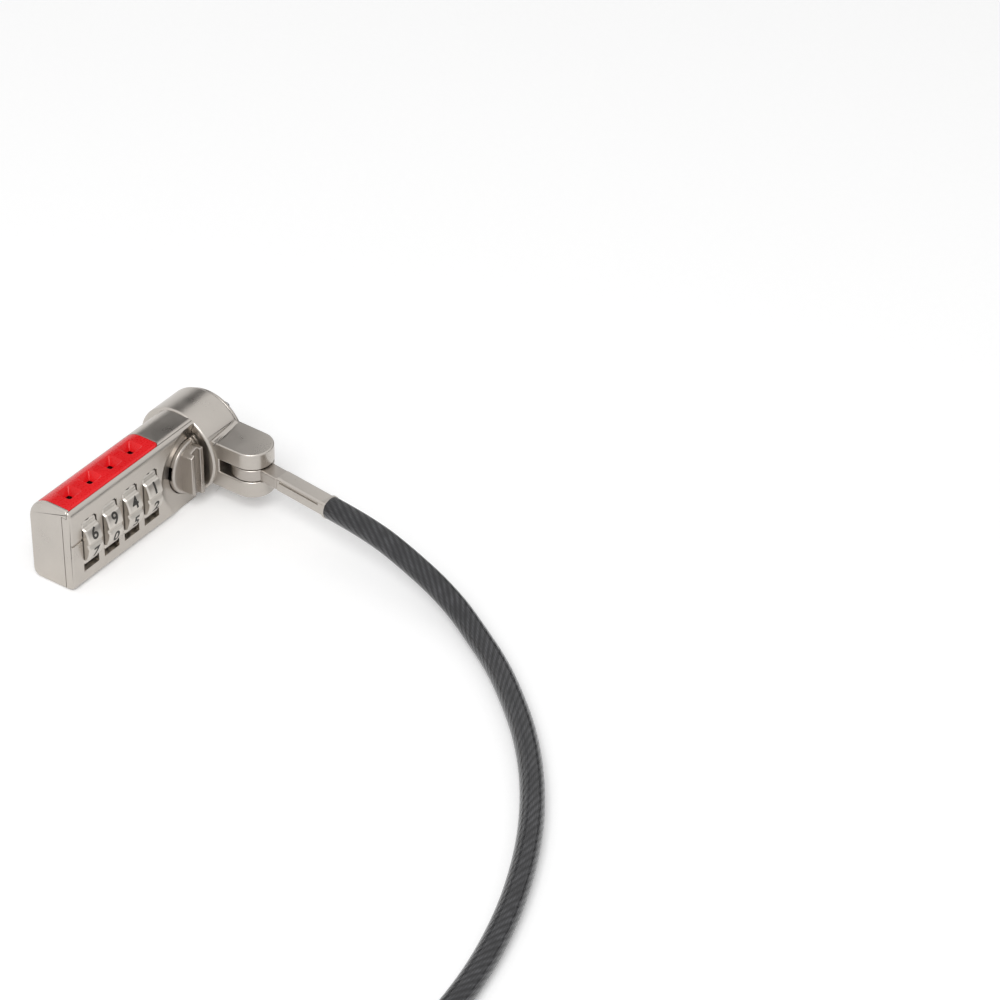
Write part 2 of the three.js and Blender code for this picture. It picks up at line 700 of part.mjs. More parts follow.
const makeFerrule = () => {
  const halfWidth = ferruleWidth / 2;
  const halfHeight = ferruleHeight / 2;
  const c = ferruleChamfer;
  const section = polygon([
    [-halfWidth + c, -halfHeight], [halfWidth - c, -halfHeight],
    [halfWidth, -halfHeight + c], [halfWidth, halfHeight - c],
    [halfWidth - c, halfHeight], [-halfWidth + c, halfHeight],
    [-halfWidth, halfHeight - c], [-halfWidth, -halfHeight + c],
  ]);
  const startY = -eyeNeckLength - turningGap / 2;
  const body = alongY(section, -ferruleEnd, startY);
  const halfTenon = eyeTenonWidth / 2 + turningGap;
  const halfThick = eyeTenonThickness / 2 + turningGap;
  const socketEnd = startY - eyeTenonLength - turningGap;
  const socket = box(-halfTenon, halfTenon, socketEnd, 0, -halfThick, halfThick);
  const halfGroove = ferruleGroove / 2;
  const grooveZ = halfHeight / 2;
  const groove = box(
    -2 * halfWidth, -halfWidth + halfGroove, -ferruleEnd + ferruleLength / 6, startY - ferruleLength / 12,
    grooveZ - halfGroove, grooveZ + halfGroove,
  );
  return cut(body, socket, groove);
};

// ---------- The cable ----------

const runStart = pinPlace.clone().addScaledVector(cableHeading, ferruleEnd + cableGap);
runStart.z = axisHeight;
const coilLift = tieThickness + tieGap;
const coilBaseZ = cableRadius + coilLift;
const coilOuter = coilMiddleRadius + (coilTurnsPerLayer * coilPitch) / 2;

// The coil is wound clockwise as seen from above, and its angles run that way.
const clockwise = (angle) => new THREE.Vector3(Math.cos(angle), -Math.sin(angle), 0);
const atCoil = (angle, radius, z) =>
  new THREE.Vector3(coilX, coilY, z).addScaledVector(clockwise(angle), radius);

const startAngle = THREE.MathUtils.degToRad(coilStartAngle);
const coilEntry = atCoil(startAngle, coilOuter, coilBaseZ);
const entryHeading = clockwise(startAngle + Math.PI / 2);
const runEnd = coilEntry.clone().addScaledVector(entryHeading, -cableDiameter - cableGap);

// The cable drops from the ferrule to the surface and runs on in the wide bend that lies in view.
const runPoints = [
  [-7.96, -38.0, 8.97],
  [-8.31, -41.0, 8.9],
  [-8.62, -44.0, 8.68],
  [-8.98, -48.2, 8.05],
  [-9.44, -52.3, 7.1],
  [-10.05, -56.4, 6.1],
  [-10.93, -60.8, 5.1],
  [-11.93, -64.6, 4.15],
  [-13.07, -68.0, 3.3],
  [-16.2, -74.2, 2.45],
  [-19.9, -80.3, 2.3],
  [-24.1, -86.1, 2.23],
  [-33.1, -96.4, 2.2],
  [-42.9, -105.1, 2.2],
  [-53.3, -112.2, 2.2],
  [-64.2, -117.9, 2.2],
  [-75.5, -122.4, 2.2],
  [-88.0, -125.8, 2.2],
  [-101.0, -127.6, 2.2],
  [-115.0, -128.1, 2.2],
  [-129.0, -128.2, 2.3],
  [-143.0, -128.2, 2.6],
  [-157.0, -128.2, 3.1],
].map(([x, y, z]) => new THREE.Vector3(x, y, z));

const beforeRunEnd = runEnd.clone().addScaledVector(entryHeading, -cableDiameter);
const runRoute = [runStart, ...runPoints, beforeRunEnd, runEnd];
const runCurve = new THREE.CatmullRomCurve3(runRoute, false, 'centripetal');

const makeRun = () => {
  const section = new THREE.Shape();
  for (let k = 0; k < runSides; k += 1) {
    const angle = (2 * Math.PI * k) / runSides;
    section.lineTo(cableRadius * Math.cos(angle), cableRadius * Math.sin(angle));
  }
  const options = { steps: runSteps, bevelEnabled: false, extrudePath: runCurve };
  return toSolid(new THREE.ExtrudeGeometry(section, options));
};

const smooth = (value) => {
  const t = Math.min(Math.max(value, 0), 1);
  return t * t * (3 - 2 * t);
};

// The turns spiral in and out at one rate, and climb a layer in the half turn round each reversal.
const coilPath = () => {
  const path = [];
  const layerTurn = 2 * Math.PI * coilTurnsPerLayer;
  const whole = layerTurn * coilLayers;
  const count = Math.round(coilTurnsPerLayer * coilLayers * coilStepsPerTurn);
  path.push(coilEntry.clone().addScaledVector(entryHeading, -cableDiameter));
  for (let i = 0; i <= count; i += 1) {
    const turned = (whole * i) / count;
    const phase = (turned / layerTurn) % 2;
    const inwards = phase < 1 ? phase : 2 - phase;
    const radius = coilOuter - coilTurnsPerLayer * coilPitch * inwards;
    let climbed = smooth((turned - whole + Math.PI / 2) / (Math.PI / 2));
    for (let layer = 1; layer < coilLayers; layer += 1) {
      climbed += smooth((turned - layer * layerTurn + Math.PI / 2) / Math.PI);
    }
    path.push(atCoil(startAngle + turned, radius, coilBaseZ + coilPitch * climbed));
  }
  return path;
};

// From the last turn the cable bends inwards over the top, towards its loop.
const loopZ = coilBaseZ + coilPitch * coilLayers;
const tailStartAngle = startAngle + 2 * Math.PI * coilTurnsPerLayer * coilLayers;
const tailTurn = THREE.MathUtils.degToRad(tailBendAngle);
const tailCentre = atCoil(tailStartAngle, coilOuter - tailBendRadius, loopZ);

const tailPath = () => {
  const steps = Math.ceil((tailBendAngle * tailBendRadius) / coilMiddleRadius / (360 / coilStepsPerTurn));
  const path = [];
  for (let i = 1; i <= steps; i += 1) {
    const angle = tailStartAngle + (tailTurn * i) / steps;
    path.push(tailCentre.clone().addScaledVector(clockwise(angle), tailBendRadius));
  }
  return path;
};

const loopHeading = clockwise(tailStartAngle + tailTurn + Math.PI / 2);
const loopSide = new THREE.Vector3(loopHeading.y, -loopHeading.x, 0);
const tailEnd = tailPath().at(-1).clone().addScaledVector(loopHeading, cableDiameter);
const strandOffset = (cableDiameter + strandGap) / 2;

// A place measured along the loop from the sleeve's near face, and across it from the sleeve's middle
const inLoop = (along, across) => {
  const spot = tailEnd.clone().addScaledVector(loopHeading, cableGap + along);
  return spot.addScaledVector(loopSide, across + strandOffset);
};

const makeCoil = () => {
  const path = [...coilPath(), ...tailPath(), tailEnd];
  let least = Infinity;
  const far = Math.round(coilStepsPerTurn / 2);
  const fine = new THREE.CatmullRomCurve3(path).getSpacedPoints(path.length * 4);
  fine.forEach((a, i) => {
    for (let j = i + far * 4; j < fine.length; j += 1) least = Math.min(least, a.distanceTo(fine[j]));
  });
  console.log('cable coil: least gap to itself ' + (least - cableDiameter).toFixed(2) + ' mm');
  return sweepTube(path, cableRadius, coilSides);
};

const sleeveWidth = 2 * cableDiameter + strandGap + 2 * loopSleeveWall;
const sleeveHeight = cableDiameter + 2 * loopSleeveWall;

// A crimped sleeve with round edges, which grips the cable's end beside the cable itself
const makeLoopSleeve = () => {
  const radius = sleeveHeight / 2;
  const halfWidth = sleeveWidth / 2;
  const shape = roundedRectangle(-halfWidth, halfWidth, -radius, radius, Array(4).fill(radius));
  const options = { depth: loopSleeveLength, bevelEnabled: false, curveSegments: 5 };
  const geometry = new THREE.ExtrudeGeometry(shape, options);
  geometry.applyMatrix4(new THREE.Matrix4().makeBasis(loopSide, axisZ.clone().negate(), loopHeading));
  const middle = inLoop(0, 0);
  return toSolid(geometry.translate(middle.x, middle.y, middle.z));
};

// The loop leaves the sleeve straight, opens into a round eye and comes back beside itself.
const loopPath = () => {
  const near = loopSleeveLength + cableGap;
  const eyeCentre = near + loopLength - loopWidth / 2;
  const steps = 16;
  const sweep = THREE.MathUtils.degToRad(loopSweep);
  const path = [inLoop(near, -strandOffset), inLoop(near + cableDiameter, -strandOffset)];
  for (let i = 0; i <= steps; i += 1) {
    const angle = -sweep + (2 * sweep * i) / steps;
    path.push(inLoop(eyeCentre + (loopWidth / 2) * Math.cos(angle), (loopWidth / 2) * Math.sin(angle)));
  }
  path.push(inLoop(near + cableDiameter, strandOffset), inLoop(near, strandOffset));
  return path;
};

const makeEndLoop = () => {
  const curve = new THREE.CatmullRomCurve3(loopPath(), false, 'centripetal');
  return sweepTube(curve.getSpacedPoints(36), cableRadius, 8);
};

const makeTie = (angleDegrees) => {
  const inner = coilOuter - coilTurnsPerLayer * coilPitch - cableRadius - tieGap;
  const outer = coilOuter + cableRadius + tieGap;
  const top = coilBaseZ + coilPitch * (coilLayers - 1) + cableRadius + tieGap;
  const t = tieThickness;
  const bend = cableRadius + tieGap;
  const band = roundedRectangle(inner - t, outer + t, 0, top + t, Array(4).fill(bend + t));
  band.holes.push(roundedRectangle(inner, outer, t, top, Array(4).fill(bend)));
  const options = { depth: tieWidth, bevelEnabled: false, curveSegments: 4 };
  const geometry = new THREE.ExtrudeGeometry(band, options);
  geometry.translate(0, 0, -tieWidth / 2);
  const angle = startAngle + THREE.MathUtils.degToRad(angleDegrees);
  const radial = clockwise(angle);
  const across = radial.clone().cross(axisZ);
  geometry.applyMatrix4(new THREE.Matrix4().makeBasis(radial, axisZ, across));
  return toSolid(geometry.translate(coilX, coilY, 0));
};

const pathLength = (points) => points.slice(1).reduce((sum, p, i) => sum + p.distanceTo(points[i]), 0);
const cableLength = runCurve.getLength() + pathLength([...coilPath(), ...tailPath(), tailEnd])
  + loopSleeveLength + pathLength(loopPath());
console.log('cable: ' + (cableLength / 1000).toFixed(3) + ' m from the ferrule round the loop');

// ---------- The assembly ----------

const lock = new THREE.Group();
lock.position.z = axisHeight;
lock.add(
  part('housing', makeHousing(), satinNickel()),
  part('front_cover', makeFrontCover(), satinNickel()),
  part('window_strip', makeStrip(), redPlastic()),
  ...dowelPlaces.map((place, i) => part('cover_dowel_' + (i + 1), makeDowel(place), hardenedSteel())),
  ...eachDial((x, n) => part('dial_' + n, makeDial(x), dialMetal())),
  ...eachDial((x, n) => part('code_sleeve_' + n, makeSleeve(x), brass())),
  part('spindle', makeSpindle(), hardenedSteel()),
  part('code_bar', makeCodeBar(), brass()),
  part('crank', makeCrank(), hardenedSteel()),
  part('t_bar', makeTBar(), hardenedSteel()),
  part('t_bar_pin', makeCrossPin(), hardenedSteel()),
  part('thumb_button', makeButton(), darkNickel()),
  part('button_spring', makeButtonSpring(), springSteel()),
  part('detent_strip', makeDetentStrip(), springSteel()),
  part('nose_plate', makeNosePlate(), darkNickel()),
  part('slot_peg_1', makePeg(-pegSpread), hardenedSteel()),
  part('slot_peg_2', makePeg(pegSpread), hardenedSteel()),
  part('swivel_collar', makeCollar(), satinNickel()),
  part('clevis_pin', makeClevisPin(), hardenedSteel()),
);

const cableEnd = new THREE.Group();
cableEnd.position.copy(pinPlace);
cableEnd.rotation.z = -swing;
cableEnd.add(
  part('cable_eye', makeCableEye(), darkNickel()),
  part('ferrule', makeFerrule(), satinNickel()),
);
lock.add(cableEnd);

const cable = new THREE.Group();
cable.add(
  part('cable_run', makeRun(), cableSheath()),
  part('cable_coil', makeCoil(), cableSheath()),
  ...tieAngles.map((angle, i) => part('coil_tie_' + (i + 1), makeTie(angle), blackTie())),
  part('loop_sleeve', makeLoopSleeve(), satinNickel()),
  part('end_loop', makeEndLoop(), cableSheath()),
);

const cableLock = new THREE.Group();
cableLock.position.set(-centreX, -centreY, 0);
cableLock.add(lock, cable);

export default cableLock;
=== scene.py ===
import math
import bpy
import bmesh
from mathutils import Matrix, Vector


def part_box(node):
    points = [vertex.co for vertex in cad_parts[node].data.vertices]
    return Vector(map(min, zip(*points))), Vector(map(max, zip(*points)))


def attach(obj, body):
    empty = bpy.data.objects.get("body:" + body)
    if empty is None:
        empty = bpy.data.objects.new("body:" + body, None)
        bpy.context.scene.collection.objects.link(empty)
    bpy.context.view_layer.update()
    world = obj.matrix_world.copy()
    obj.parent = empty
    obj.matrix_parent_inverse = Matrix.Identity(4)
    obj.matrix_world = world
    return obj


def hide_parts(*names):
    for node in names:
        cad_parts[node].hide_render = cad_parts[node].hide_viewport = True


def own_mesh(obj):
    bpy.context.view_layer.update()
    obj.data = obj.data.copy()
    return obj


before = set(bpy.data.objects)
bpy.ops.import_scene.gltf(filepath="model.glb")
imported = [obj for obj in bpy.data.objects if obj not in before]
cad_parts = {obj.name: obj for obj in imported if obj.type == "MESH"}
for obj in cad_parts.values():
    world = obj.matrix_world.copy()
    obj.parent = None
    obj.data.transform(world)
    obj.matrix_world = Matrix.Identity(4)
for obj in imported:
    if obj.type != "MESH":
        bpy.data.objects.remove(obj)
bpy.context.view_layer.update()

# ---------------------------------------------------------------- The camera
# A long lens looks down on the lock from its front left, as in the photograph. Its place, its turn
# and its focal length in pixels were solved from a known length in it.
photo_size = 1000
photo_focal = 4142.6
photo_centre_row = 456
sensor_width = 36
camera_place = Vector((-0.46889, -0.40640, 0.46253))
look_down = math.radians(35.64)
look_heading = math.radians(35.68)

camera_data = bpy.data.cameras.new("photo_camera")
camera_data.sensor_width = sensor_width
camera_data.lens = sensor_width * photo_focal / photo_size
camera_data.shift_y = (photo_centre_row - photo_size / 2) / photo_size
camera = bpy.data.objects.new("photo_camera", camera_data)
camera.location = camera_place
camera.rotation_euler = (math.pi / 2 - look_down, 0, look_heading - math.pi / 2)
bpy.context.scene.collection.objects.link(camera)
bpy.context.scene.camera = camera
bpy.context.scene.view_settings.view_transform = "Standard"


# ---------------------------------------------------------------- The cable
# One steel cable of twisted strands in a clear grey sheath. It runs from the ferrule over the
# table, is put away in a coil, and passes the loop sleeve. Its far end comes back into the sleeve
# as a loop.
mm = 0.001
nose_low, nose_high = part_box("nose_plate")
lock_place = Vector((nose_high.x, (nose_low.y + nose_high.y) / 2, (nose_low.z + nose_high.z) / 2))
on_table = Vector((lock_place.x, lock_place.y, 0))

# Where the cable's eye turns, in millimetres from the lock's axis at the nose plate's face
clevis_x = -5.2
clevis_reach = 14.3
cable_swing = math.radians(6.67)
ferrule_end = 20.5
cable_heading = Vector((-math.sin(cable_swing), -math.cos(cable_swing), 0))
pin_place = lock_place + Vector((clevis_x, -clevis_reach, 0)) * mm

cable_width = 0.0044
cable_gap = 0.0003
cable_step = 0.0015
coil_centre = Vector((-0.178, -0.098, 0)) + on_table
coil_start = math.radians(92)
coil_middle = 0.0246
turns_per_layer = 2.235
coil_layers = 4
coil_pitch = 0.0049
steps_per_turn = 24
coil_lift = 0.0013
coil_base = cable_width / 2 + coil_lift
coil_outer = coil_middle + turns_per_layer * coil_pitch / 2
entry_reaches = (0.0091, 0.0047)
tail_radius = 0.018
tail_bend = math.radians(110)
tail_steps = 12
strand_gap = 0.0004
loop_length = 0.037
loop_width = 0.027
loop_sweep = math.radians(112)
loop_steps = 20
loop_sleeve_length = 0.013

# The cable's middle line from the ferrule to the coil, measured from below the lock's axis
run_points = [
    (-0.00796, -0.0380, 0.00897),
    (-0.00831, -0.0410, 0.0089),
    (-0.00862, -0.0440, 0.00868),
    (-0.00898, -0.0482, 0.00805),
    (-0.00944, -0.0523, 0.0071),
    (-0.01005, -0.0564, 0.0061),
    (-0.01093, -0.0608, 0.0051),
    (-0.01193, -0.0646, 0.00415),
    (-0.01307, -0.0680, 0.0033),
    (-0.0162, -0.0742, 0.00245),
    (-0.0199, -0.0803, 0.0023),
    (-0.0241, -0.0861, 0.00223),
    (-0.0331, -0.0964, 0.0022),
    (-0.0429, -0.1051, 0.0022),
    (-0.0533, -0.1122, 0.0022),
    (-0.0642, -0.1179, 0.0022),
    (-0.0755, -0.1224, 0.0022),
    (-0.0880, -0.1258, 0.0022),
    (-0.1010, -0.1276, 0.0022),
    (-0.1150, -0.1281, 0.0022),
    (-0.1290, -0.1282, 0.0023),
    (-0.1430, -0.1282, 0.0026),
    (-0.1570, -0.1282, 0.0031),
]


def clockwise(angle):
    """The coil is wound clockwise as seen from above, and its angles run that way."""
    return Vector((math.cos(angle), -math.sin(angle), 0))


def at_coil(angle, radius, height):
    return coil_centre + clockwise(angle) * radius + Vector((0, 0, height))


def eased(value):
    t = min(max(value, 0), 1)
    return t * t * (3 - 2 * t)


def coil_turns():
    """The turns spiral in and out at one rate, and climb a layer round each reversal."""
    layer_turn = 2 * math.pi * turns_per_layer
    whole = layer_turn * coil_layers
    count = round(turns_per_layer * coil_layers * steps_per_turn)
    places = []
    for i in range(count + 1):
        turned_by = whole * i / count
        phase = (turned_by / layer_turn) % 2
        inwards = phase if phase < 1 else 2 - phase
        radius = coil_outer - turns_per_layer * coil_pitch * inwards
        climbed = eased((turned_by - whole + math.pi / 2) / (math.pi / 2))
        for layer in range(1, coil_layers):
            climbed += eased((turned_by - layer * layer_turn + math.pi / 2) / math.pi)
        places.append(at_coil(coil_start + turned_by, radius, coil_base + coil_pitch * climbed))
    return places


# From the last turn the cable bends inwards over the top, towards its loop.
loop_height = coil_base + coil_pitch * coil_layers
tail_start = coil_start + 2 * math.pi * turns_per_layer * coil_layers
tail_centre = at_coil(tail_start, coil_outer - tail_radius, loop_height)
tail = []
for i in range(1, tail_steps + 1):
    tail.append(tail_centre + clockwise(tail_start + tail_bend * i / tail_steps) * tail_radius)
loop_heading = clockwise(tail_start + tail_bend + math.pi / 2)
loop_side = Vector((loop_heading.y, -loop_heading.x, 0))
strand_offset = (cable_width + strand_gap) / 2
sleeve_start = tail[-1] + loop_heading * (cable_width + cable_gap)


def in_loop(along, across):
    return sleeve_start + loop_heading * along + loop_side * (across + strand_offset)


def loop_turn():
    """Out of the sleeve, round the eye of the loop and back into the sleeve."""
    near_end = loop_sleeve_length + cable_gap
    straight_end = near_end + cable_width
    reach = loop_width / 2
    eye_centre = near_end + loop_length - reach
    places = [in_loop(near_end, -strand_offset), in_loop(straight_end, -strand_offset)]
    for i in range(loop_steps + 1):
        angle = -loop_sweep + 2 * loop_sweep * i / loop_steps
        places.append(in_loop(eye_centre + reach * math.cos(angle), reach * math.sin(angle)))
    return places + [in_loop(along, strand_offset) for along in (straight_end, near_end, cable_gap)]


def smooth_line(points, step, parts=16):
    """Evenly spaced places on one smooth line through the points."""
    fine = [points[0]]
    for i in range(len(points) - 1):
        b, c = points[i], points[i + 1]
        a = points[i - 1] if i > 0 else 2 * b - c
        d = points[i + 2] if i + 2 < len(points) else 2 * c - b
        ab, bc, cd = ((q - p).length ** 0.5 for p, q in ((a, b), (b, c), (c, d)))
        out = ((b - a) / ab - (c - a) / (ab + bc) + (c - b) / bc) * bc
        back = ((c - b) / bc - (d - b) / (bc + cd) + (d - c) / cd) * bc
        for k in range(1, parts + 1):
            t = k / parts
            place = (2 * t**3 - 3 * t**2 + 1) * b + (t**3 - 2 * t**2 + t) * out
            fine.append(place + (3 * t**2 - 2 * t**3) * c + (t**3 - t**2) * back)
    places, left = [fine[0]], step
    for p, q in zip(fine, fine[1:]):
        span = (q - p).length
        while left <= span:
            places.append(p.lerp(q, left / span))
            left += step
        left -= span
    return places + [fine[-1]]


entry_heading = clockwise(coil_start + math.pi / 2)
coil_entry = at_coil(coil_start, coil_outer, coil_base)
cable_exit = pin_place + cable_heading * ferrule_end * mm
route = [cable_exit] + [Vector(p) + on_table for p in run_points]
route += [coil_entry - entry_heading * reach for reach in entry_reaches]
route += coil_turns() + tail + [sleeve_start - loop_heading * cable_gap] + loop_turn()
cable_line = smooth_line(route, cable_step)
cable_length = sum((q - p).length for p, q in zip(cable_line, cable_line[1:]))


def tube_mesh(name, line, radius):
    """A tube's mesh along a line, with its own map: along it first, then round it."""
    curve = bpy.data.curves.new(name, "CURVE")
    curve.dimensions = "3D"
    curve.bevel_depth = radius
    curve.bevel_resolution = 7
    curve.use_fill_caps = True
    spline = curve.splines.new("POLY")
    spline.points.add(len(line) - 1)
    for point, place in zip(spline.points, line):
        point.co = (*place, 1)
    holder = bpy.data.objects.new(name + "_line", curve)
    mesh = bpy.data.meshes.new_from_object(holder)
    mesh.name = name
    bpy.data.objects.remove(holder)
    bpy.data.curves.remove(curve)
    mesh.materials.clear()
    return mesh


def node(tree, kind, *links, **settings):
    """A shader node: its inputs take the links in order; settings name properties or sockets."""
    fresh = tree.nodes.new("ShaderNode" + kind)
    for key, value in settings.items():
        if hasattr(fresh, key):
            setattr(fresh, key, value)
        else:
            fresh.inputs[key.replace("_", " ").title()].default_value = value
    for socket, link in enumerate(links):
        if isinstance(link, (int, float)):
            fresh.inputs[socket].default_value = link
        else:
            tree.links.new(link, fresh.inputs[socket])
    return fresh


def new_finish(name):
    """A material with its tree and its Principled shader."""
    material = bpy.data.materials.new(name)
    material.use_nodes = True
    return material, material.node_tree, material.node_tree.nodes["Principled BSDF"]


def coloured(tree, shader, factor, *stops):
    """Colours the shader by a ramp over the factor; each stop is a place and a colour."""
    ramp = node(tree, "ValToRGB", factor)
    while len(ramp.color_ramp.elements) < len(stops):
        ramp.color_ramp.elements.new(1)
    for element, (place, colour) in zip(ramp.color_ramp.elements, stops):
        element.position = place
        element.color = (*colour, 1)
    tree.links.new(ramp.outputs["Color"], shader.inputs["Base Color"])


def roughened(tree, shader, factor, *span):
    """Maps the factor onto the roughness: lowest and highest factor, then their roughnesses."""
    rough = node(tree, "MapRange", factor, *span)
    tree.links.new(rough.outputs[0], shader.inputs["Roughness"])


def raised(tree, shader, height, strength, distance):
    """Shows the height as relief."""
    bump = node(tree, "Bump", strength=strength, distance=distance)
    tree.links.new(height, bump.inputs["Height"])
    tree.links.new(bump.outputs[0], shader.inputs["Normal"])


def cable_finish(length):
    """Dark twisted strands of fine wire, seen through a smooth clear sheath, with painted shade in
    the grooves between the strands.
    """
    strands = 12
    strand_lay = 0.025
    wires = 3
    wire_lay = 0.18
    material, tree, shader = new_finish("sheathed_steel_cable")
    map_place = node(tree, "SeparateXYZ", node(tree, "TexCoord").outputs["UV"])
    along = node(tree, "Math", map_place.outputs["X"], length, operation="MULTIPLY").outputs[0]
    around = map_place.outputs["Y"]

    def twist(count, lay):
        """Rounded ridges that wind round the cable, once in each lay."""
        turns = node(tree, "Math", along, -count / lay, operation="MULTIPLY").outputs[0]
        places = node(tree, "Math", around, count, turns, operation="MULTIPLY_ADD").outputs[0]
        wave = node(tree, "Math", places, math.pi, operation="MULTIPLY").outputs[0]
        wave = node(tree, "Math", wave, operation="SINE").outputs[0]
        return node(tree, "Math", wave, operation="ABSOLUTE").outputs[0]

    strand = twist(strands, strand_lay)
    wire = twist(strands * wires, wire_lay)
    wire = node(tree, "Math", wire, 0.25, operation="MULTIPLY").outputs[0]
    relief = node(tree, "Math", strand, 0.75, wire, operation="MULTIPLY_ADD").outputs[0]
    place = node(tree, "TexCoord").outputs["Object"]
    cloud = node(tree, "TexNoise", place, scale=420, detail=3).outputs["Fac"]
    drift = node(tree, "Math", cloud, 0.5, operation="SUBTRACT").outputs[0]
    # The colour mixes a random cloud of tone with painted shade: the strands' relief darkens the
    # grooves between strands and wires.
    groove_shade_and_tone = node(tree, "Math", drift, 0.9, relief, operation="MULTIPLY_ADD").outputs[0]
    coloured(
        tree, shader, groove_shade_and_tone,
        (0.2, (0.002, 0.002, 0.003)), (0.6, (0.008, 0.008, 0.010)),
        (0.95, (0.03, 0.03, 0.033)), (1.0, (0.05, 0.05, 0.055)),
    )
    roughened(tree, shader, relief, 0.0, 1.0, 0.5, 0.3)
    raised(tree, shader, relief, 0.6, 0.0002)
    shader.inputs["Metallic"].default_value = 0.35
    shader.inputs["Coat Weight"].default_value = 0.6
    shader.inputs["Coat Roughness"].default_value = 0.12
    shader.inputs["Coat IOR"].default_value = 1.45
    return material


def add_piece(name, mesh, material, body, replaced=()):
    """Puts a finished mesh on its body, and hides the nodes that it stands for."""
    piece = bpy.data.objects.new(name, mesh)
    mesh.materials.append(material)
    bpy.context.scene.collection.objects.link(piece)
    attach(piece, body)
    if replaced:
        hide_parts(*replaced)
    return piece


cable = add_piece(
    "cable", tube_mesh("cable", cable_line, cable_width / 2), cable_finish(cable_length),
    "cable_end", ["cable_run", "cable_coil", "end_loop"],
)


# ---------------------------------------------------------------- The loop sleeve and the coil ties
# A pressed sleeve of plated copper grips the cable's end beside the cable and so closes the loop.
# Two black hook and loop ties, woven with a soft pile, hold the coil. From here on each solid is
# turned and milled in millimetres from the lock's axis, has its edges broken, and is put in place.
sleeve_half_width = 5.3
sleeve_half_height = 2.9
sleeve_corner = 2.85
crimp_places = (2.6, 4.4, 8.6, 10.4)
crimp_squeeze = (0.985, 0.93, 1)
sleeve_bore_gap = 0.03
tie_edge = 0.2

# The angle from which an edge is sharp, a reach for picking what lies on a plane, one that goes
# just past a face, and one that goes past everything
sharp = math.radians(34)
near = 0.1
past = 1
far = 90


def turned(profile, axis="X", centre=(0, 0), steps=72):
    """A solid of revolution; the profile's points are (place along the axis, radius)."""
    bm = bmesh.new()
    ring = [bm.verts.new((along, radius, 0)) for along, radius in profile]
    hollow = profile[0][1] > 0
    edges = [bm.edges.new(pair) for pair in zip(ring, ring[1:] + ring[:1] * hollow)]
    bmesh.ops.spin(
        bm, geom=ring + edges, cent=(0, 0, 0), axis=(1, 0, 0), dvec=(0, 0, 0),
        angle=2 * math.pi, steps=steps, use_merge=True, use_duplicate=False,
    )
    bmesh.ops.remove_doubles(bm, verts=bm.verts, dist=1e-4)
    bmesh.ops.dissolve_degenerate(bm, edges=bm.edges, dist=1e-4)
    p, q = centre
    bm.transform({
        "X": Matrix.Translation((0, p, q)),
        "Y": Matrix(((0, 1, 0, p), (1, 0, 0, 0), (0, 0, 1, q), (0, 0, 0, 1))),
        "Z": Matrix(((0, 1, 0, p), (0, 0, 1, q), (1, 0, 0, 0), (0, 0, 0, 1))),
    }[axis])
    bmesh.ops.recalc_face_normals(bm, faces=bm.faces)
    if bm.calc_volume(signed=True) < 0:
        bmesh.ops.reverse_faces(bm, faces=bm.faces)
    return bm


def rod(radius, start, end, axis="X", centre=(0, 0), steps=48):
    return turned([(start, 0), (start, radius), (end, radius), (end, 0)], axis, centre, steps)


def block(x0, x1, y0, y1, z0, z1):
    bm = bmesh.new()
    middle = ((x0 + x1) / 2, (y0 + y1) / 2, (z0 + z1) / 2)
    bmesh.ops.create_cube(bm, size=1)
    bmesh.ops.scale(bm, vec=(x1 - x0, y1 - y0, z1 - z0), verts=bm.verts)
    bmesh.ops.translate(bm, vec=middle, verts=bm.verts)
    return bm


def sliced(bm, normal, places):
    """Adds a row of edges across the solid at each place along the normal."""
    normal = Vector(normal)
    for place in places:
        everything = bm.verts[:] + bm.edges[:] + bm.faces[:]
        bmesh.ops.bisect_plane(bm, geom=everything, plane_co=normal * place, plane_no=normal)


def anywhere(middle):
    return True


def runs(axis, where=anywhere):
    """A test for the edges along an axis, whose middle also passes the second test."""
    index = "XYZ".index(axis)
    return lambda middle, along: abs(along[index]) > 0.9 and where(middle)


def bevelled(bm, edges, width, segments):
    bmesh.ops.bevel(
        bm, geom=edges, offset=width, segments=segments, profile=0.5, affect="EDGES",
        material=-1, clamp_overlap=False,
    )
    return bm


def round_over(bm, width, segments, chosen):
    """Rounds the edges that the test picks, by their middle and their direction."""
    edges = []
    for edge in bm.edges:
        a, b = (v.co for v in edge.verts)
        if chosen((a + b) / 2, (b - a).normalized()):
            edges.append(edge)
    return bevelled(bm, edges, width, segments)


def broken(bm, width, segments, chosen=anywhere):
    """Rounds every sharp outer edge that the test picks by its middle."""
    edges = []
    for edge in bm.edges:
        if len(edge.link_faces) == 2 and edge.calc_face_angle_signed(0) > sharp:
            if chosen((edge.verts[0].co + edge.verts[1].co) / 2):
                edges.append(edge)
    return bevelled(bm, edges, width, segments)


def combined(body, others, operation):
    """The body with the others taken away from it, added to it, or as far as they share it."""
    objects = []
    for bm in [body, *others]:
        mesh = bpy.data.meshes.new("blank")
        bm.to_mesh(mesh)
        bm.free()
        objects.append(bpy.data.objects.new("blank", mesh))
        bpy.context.scene.collection.objects.link(objects[-1])
    for tool in objects[1:]:
        modifier = objects[0].modifiers.new("cut", "BOOLEAN")
        modifier.operation = operation
        modifier.solver = "EXACT"
        modifier.object = tool
    bpy.context.view_layer.update()
    depsgraph = bpy.context.evaluated_depsgraph_get()
    whole = bmesh.new()
    whole.from_object(objects[0], depsgraph)
    for used in objects:
        bpy.data.meshes.remove(used.data)
    bmesh.ops.remove_doubles(whole, verts=whole.verts, dist=2e-4)
    bmesh.ops.dissolve_limit(
        whole, angle_limit=math.radians(0.2), verts=whole.verts, edges=whole.edges, delimit=set(),
    )
    return whole


def cut(body, *tools):
    return combined(body, tools, "DIFFERENCE")


def in_lock(place):
    """A place of the frame in millimetres from the lock's axis."""
    return (Vector(place) - lock_place) / mm


